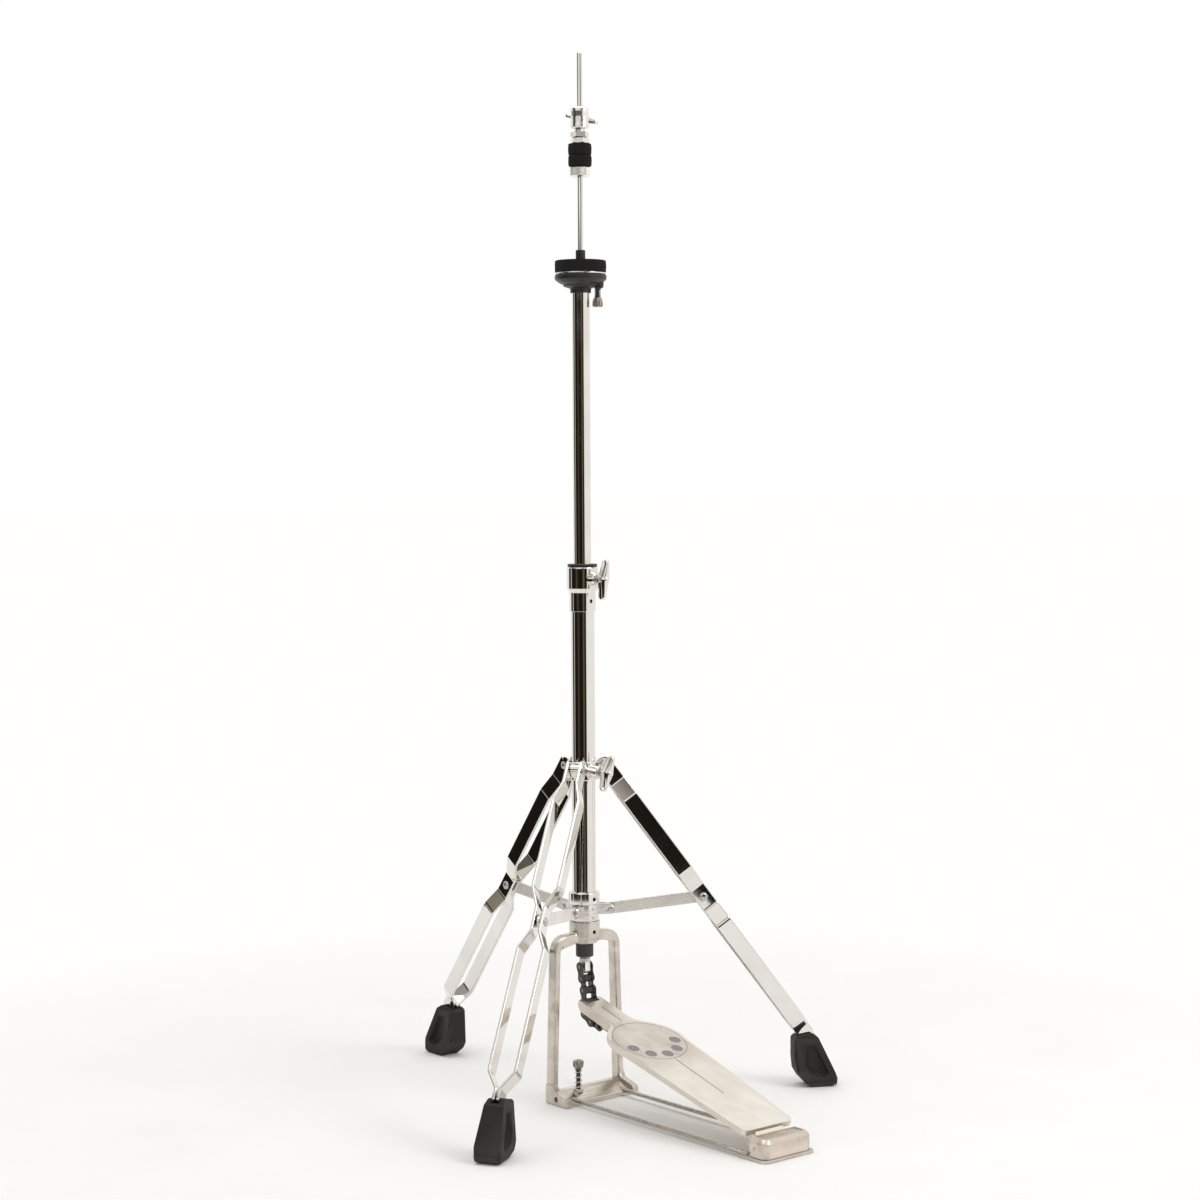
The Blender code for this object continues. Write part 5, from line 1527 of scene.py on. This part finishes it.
def make_leg_collar():
    """The sliding collar: a chrome casting with a lug for each leg and a boss for the wing bolt."""
    radius = 0.0148
    low, high = (point.z for point in extent("leg_collar"))
    pivot_point = home("leg_{}_fold", "a")
    bore = turned("lower_tube")[0] + SLIP
    collar = lathe(
        "leg_collar_casting", [(0, low), (radius, low), (radius, high), (0, high)], CHROME, None, 96,
        0.0008,
    )
    outline = [(0.0130, high - 0.001), (0.0130, low + 0.002), (0.0215, low + 0.0045)]
    outline += arc((pivot_point.x, pivot_point.z), 0.0051, -60, 90, 16)
    tools = [
        prism("lug", outline, -0.0054, 0.0054, CHROME, turn(angle) @ ALONG_Y)
        for angle in LEG_ANGLES.values()
    ]
    axis_z = JOINTS["leg_wing_turn"]["pos_m"][2]
    forward = axes((0, 0, axis_z), FORWARD, (1, 0, 0))
    boss = [(0, 0.0128), (0.0078, 0.0128), (0.0069, 0.0170), (0.0069, 0.0285), (0, 0.0285)]
    tools.append(lathe("boss", boss, CHROME, forward, 64, 0.0008))
    carve(collar, tools, "UNION")
    melt(collar, 0.00042, 3)
    cutters = [drill(bore, 0.3, 0.4, None, CHROME, 96), drill(BOLT_BORE, 0.005, 0.04, forward)]
    for angle in LEG_ANGLES.values():
        across = turn(angle) @ axes(pivot_point, (0, 1, 0), (1, 0, 0))
        cutters.append(drill(LEG_PIN_BORE, -0.01, 0.01, across))
    carve(collar, cutters)
    collar.data.shade_smooth()
    collar.data.set_sharp_from_angle(angle=math.radians(50))
    stand_for(collar, "leg_collar")


# ---------------------------------------------------------------- camera, floor and light

CAMERA_AZIMUTH = -39.4803
CAMERA_DISTANCE = 2.61191
CAMERA_HEIGHT = 0.68429
CAMERA_YAW = -39.8872
CAMERA_PITCH = 3.2997
CAMERA_ROLL = -0.32016
CAMERA_LENS = 73.89
PAPER_RADIUS = 1.18


def make_camera():
    azimuth, yaw, pitch = (math.radians(angle) for angle in (CAMERA_AZIMUTH, CAMERA_YAW, CAMERA_PITCH))
    data = bpy.data.cameras.new("camera")
    data.lens = CAMERA_LENS
    data.sensor_width = 36
    data.clip_start = 0.05
    camera = bpy.data.objects.new("camera", data)
    camera.location = (
        math.sin(azimuth) * CAMERA_DISTANCE, -math.cos(azimuth) * CAMERA_DISTANCE, CAMERA_HEIGHT,
    )
    ahead = Vector((-math.sin(yaw) * math.cos(pitch), math.cos(yaw) * math.cos(pitch), -math.sin(pitch)))
    right = Vector((math.cos(yaw), math.sin(yaw), 0))
    up = right.cross(ahead)
    level = Matrix((right, up, -ahead)).transposed()
    camera.rotation_euler = (level @ Matrix.Rotation(math.radians(CAMERA_ROLL), 3, "Z")).to_euler()
    bpy.context.scene.collection.objects.link(camera)
    bpy.context.scene.camera = camera


def floor_material():
    """Pale paper, lit as seen near the stand and evenly bright further out."""
    made, tree, shader = blank("paper", 0.0, 0.85)
    shader.inputs["Specular IOR Level"].default_value = 0.1
    fibre = noise(tree, 6, 3.0)
    tree.links.new(
        tint(tree, spread(tree, fibre, 0.0, 1.0), (0.90, 0.895, 0.885), (0.92, 0.915, 0.905)),
        shader.inputs["Base Color"],
    )
    place = tree.nodes.new("ShaderNodeTexCoord")
    reach = tree.nodes.new("ShaderNodeVectorMath")
    reach.operation = "LENGTH"
    tree.links.new(place.outputs["Object"], reach.inputs[0])
    glow = tree.nodes.new("ShaderNodeEmission")
    glow.inputs["Color"].default_value = (1.0, 0.995, 0.985, 1.0)
    mixed = tree.nodes.new("ShaderNodeMixShader")
    tree.links.new(spread(tree, reach.outputs["Value"], 0.0, 1.0, 0.45, 1.0), mixed.inputs[0])
    tree.links.new(shader.outputs[0], mixed.inputs[1])
    tree.links.new(glow.outputs[0], mixed.inputs[2])
    tree.links.new(mixed.outputs[0], tree.nodes["Material Output"].inputs["Surface"])
    return made


def make_floor():
    """Pale paper under the stand, and a plain surround that mirrors don't pick up."""
    paper = floor_material()
    for name, inner, outer in (("floor_paper", 0.0, PAPER_RADIUS), ("floor_surround", PAPER_RADIUS, 40.0)):
        bm = bmesh.new()
        rows = []
        for radius in (inner, outer):
            if radius == 0:
                rows.append([bm.verts.new((0, 0, 0))])
                continue
            row = []
            for k in range(128):
                angle = 2 * math.pi * k / 128
                row.append(bm.verts.new((radius * math.cos(angle), radius * math.sin(angle), 0)))
            rows.append(row)
        skin(bm, rows)
        floor = finish(name, bm, paper)
        floor.data.transform(Matrix.Translation((0, 0, -0.0002)))
        floor.visible_glossy = inner == 0


WHITE = (1.0, 0.99, 0.965)
BLACK = (0.012, 0.010, 0.008)
BROWN = (0.075, 0.052, 0.032)
OLIVE = (0.15, 0.125, 0.07)
GREY = (0.50, 0.49, 0.47)


def wall_ramp(tree, around, stops):
    """Colours round the horizon. Each stop is (degrees left of the camera, colour)."""
    node = tree.nodes.new("ShaderNodeValToRGB")
    facing = CAMERA_AZIMUTH - 90
    turns = sorted((((facing - left) / 360.0 + 0.5) % 1.0, colour) for left, colour in stops)
    ramp = node.color_ramp
    ramp.elements.remove(ramp.elements[-1])
    ramp.elements[0].position, ramp.elements[0].color = turns[0][0], (*turns[0][1], 1.0)
    for position, colour in turns[1:]:
        ramp.elements.new(position).color = (*colour, 1.0)
    tree.links.new(around, node.inputs["Fac"])
    return node.outputs["Color"]


def make_room():
    """A white studio with a dark room around the camera, which shows in reflections only."""
    world = bpy.data.worlds.new("studio")
    bpy.context.scene.world = world
    world.use_nodes = True
    tree = world.node_tree
    tree.nodes.clear()
    place = tree.nodes.new("ShaderNodeTexCoord")
    split = tree.nodes.new("ShaderNodeSeparateXYZ")
    tree.links.new(place.outputs["Generated"], split.inputs[0])
    radial = tree.nodes.new("ShaderNodeTexGradient")
    radial.gradient_type = "RADIAL"
    tree.links.new(place.outputs["Generated"], radial.inputs["Vector"])
    around = radial.outputs["Fac"]
    dark = (
        (135, WHITE), (118, WHITE), (112, BLACK), (96, BLACK), (92, GREY), (86, GREY), (82, BLACK),
        (60, BLACK),
    )
    dark += (
        (42, BROWN), (28, BLACK), (2, BLACK), (-8, OLIVE), (-20, BLACK), (-30, BLACK), (-36, WHITE),
        (-150, WHITE),
    )
    middle = (
        (135, WHITE), (98, WHITE), (90, BLACK), (62, BLACK), (54, GREY), (30, WHITE), (-10, WHITE),
        (-18, BLACK),
    )
    middle += ((-42, BLACK), (-50, WHITE), (-150, WHITE))
    upper = (
        (150, WHITE), (115, WHITE), (108, GREY), (80, OLIVE), (62, GREY), (50, WHITE), (8, WHITE),
        (0, BROWN),
    )
    upper += (
        (-14, BROWN), (-22, WHITE), (-70, WHITE), (-78, GREY), (-96, GREY), (-104, WHITE), (-150, WHITE),
    )
    height = split.outputs["Z"]
    room = tint(
        tree, spread(tree, height, 0.0, 1.0, 0.070, 0.105), wall_ramp(tree, around, dark),
        wall_ramp(tree, around, middle),
    )
    room = tint(tree, spread(tree, height, 0.0, 1.0, 0.26, 0.36), room, wall_ramp(tree, around, upper))
    room = tint(tree, spread(tree, height, 0.0, 1.0, 0.66, 0.78), room, (0.90, 0.89, 0.87))
    mirror = tree.nodes.new("ShaderNodeBackground")
    tree.links.new(room, mirror.inputs["Color"])
    soft = tree.nodes.new("ShaderNodeBackground")
    soft.inputs["Color"].default_value = (0.78, 0.775, 0.765, 1.0)
    backdrop = tree.nodes.new("ShaderNodeBackground")
    backdrop.inputs["Color"].default_value = (1.0, 1.0, 1.0, 1.0)
    path = tree.nodes.new("ShaderNodeLightPath")
    shown = soft
    for ray, background in (("Is Glossy Ray", mirror), ("Is Camera Ray", backdrop)):
        mixed = tree.nodes.new("ShaderNodeMixShader")
        tree.links.new(path.outputs[ray], mixed.inputs[0])
        tree.links.new(shown.outputs[0], mixed.inputs[1])
        tree.links.new(background.outputs[0], mixed.inputs[2])
        shown = mixed
    out = tree.nodes.new("ShaderNodeOutputWorld")
    tree.links.new(shown.outputs[0], out.inputs[0])
    bpy.context.scene.view_settings.view_transform = "Standard"


def make_light(name, place, target, size, power, colour=(1, 1, 1)):
    data = bpy.data.lights.new(name, "AREA")
    data.shape = "RECTANGLE"
    data.size, data.size_y = size
    data.energy = power
    data.color = colour
    light = bpy.data.objects.new(name, data)
    light.location = place
    light.rotation_euler = (Vector(target) - Vector(place)).to_track_quat("-Z", "Y").to_euler()
    bpy.context.scene.collection.objects.link(light)


def make_lights():
    make_light("key_softbox", (0.9, -2.2, 2.1), (0, 0, 0.45), (1.2, 1.2), 20)
    make_light("top_softbox", (-0.3, 0.2, 2.6), (0, 0, 0.3), (1.8, 1.8), 14)


make_camera()
make_floor()
make_room()
make_lights()

make_tubes()
make_height_collar()
make_wing_bolts()
make_rod()
make_clutch()
make_seat()
make_casting()
make_crossbar()
make_spur()
make_heel()
make_footboard()
make_toe_clamp()
make_chain()
make_rod_end()
make_legs()
make_hub()
make_stop_ring()
make_leg_collar()
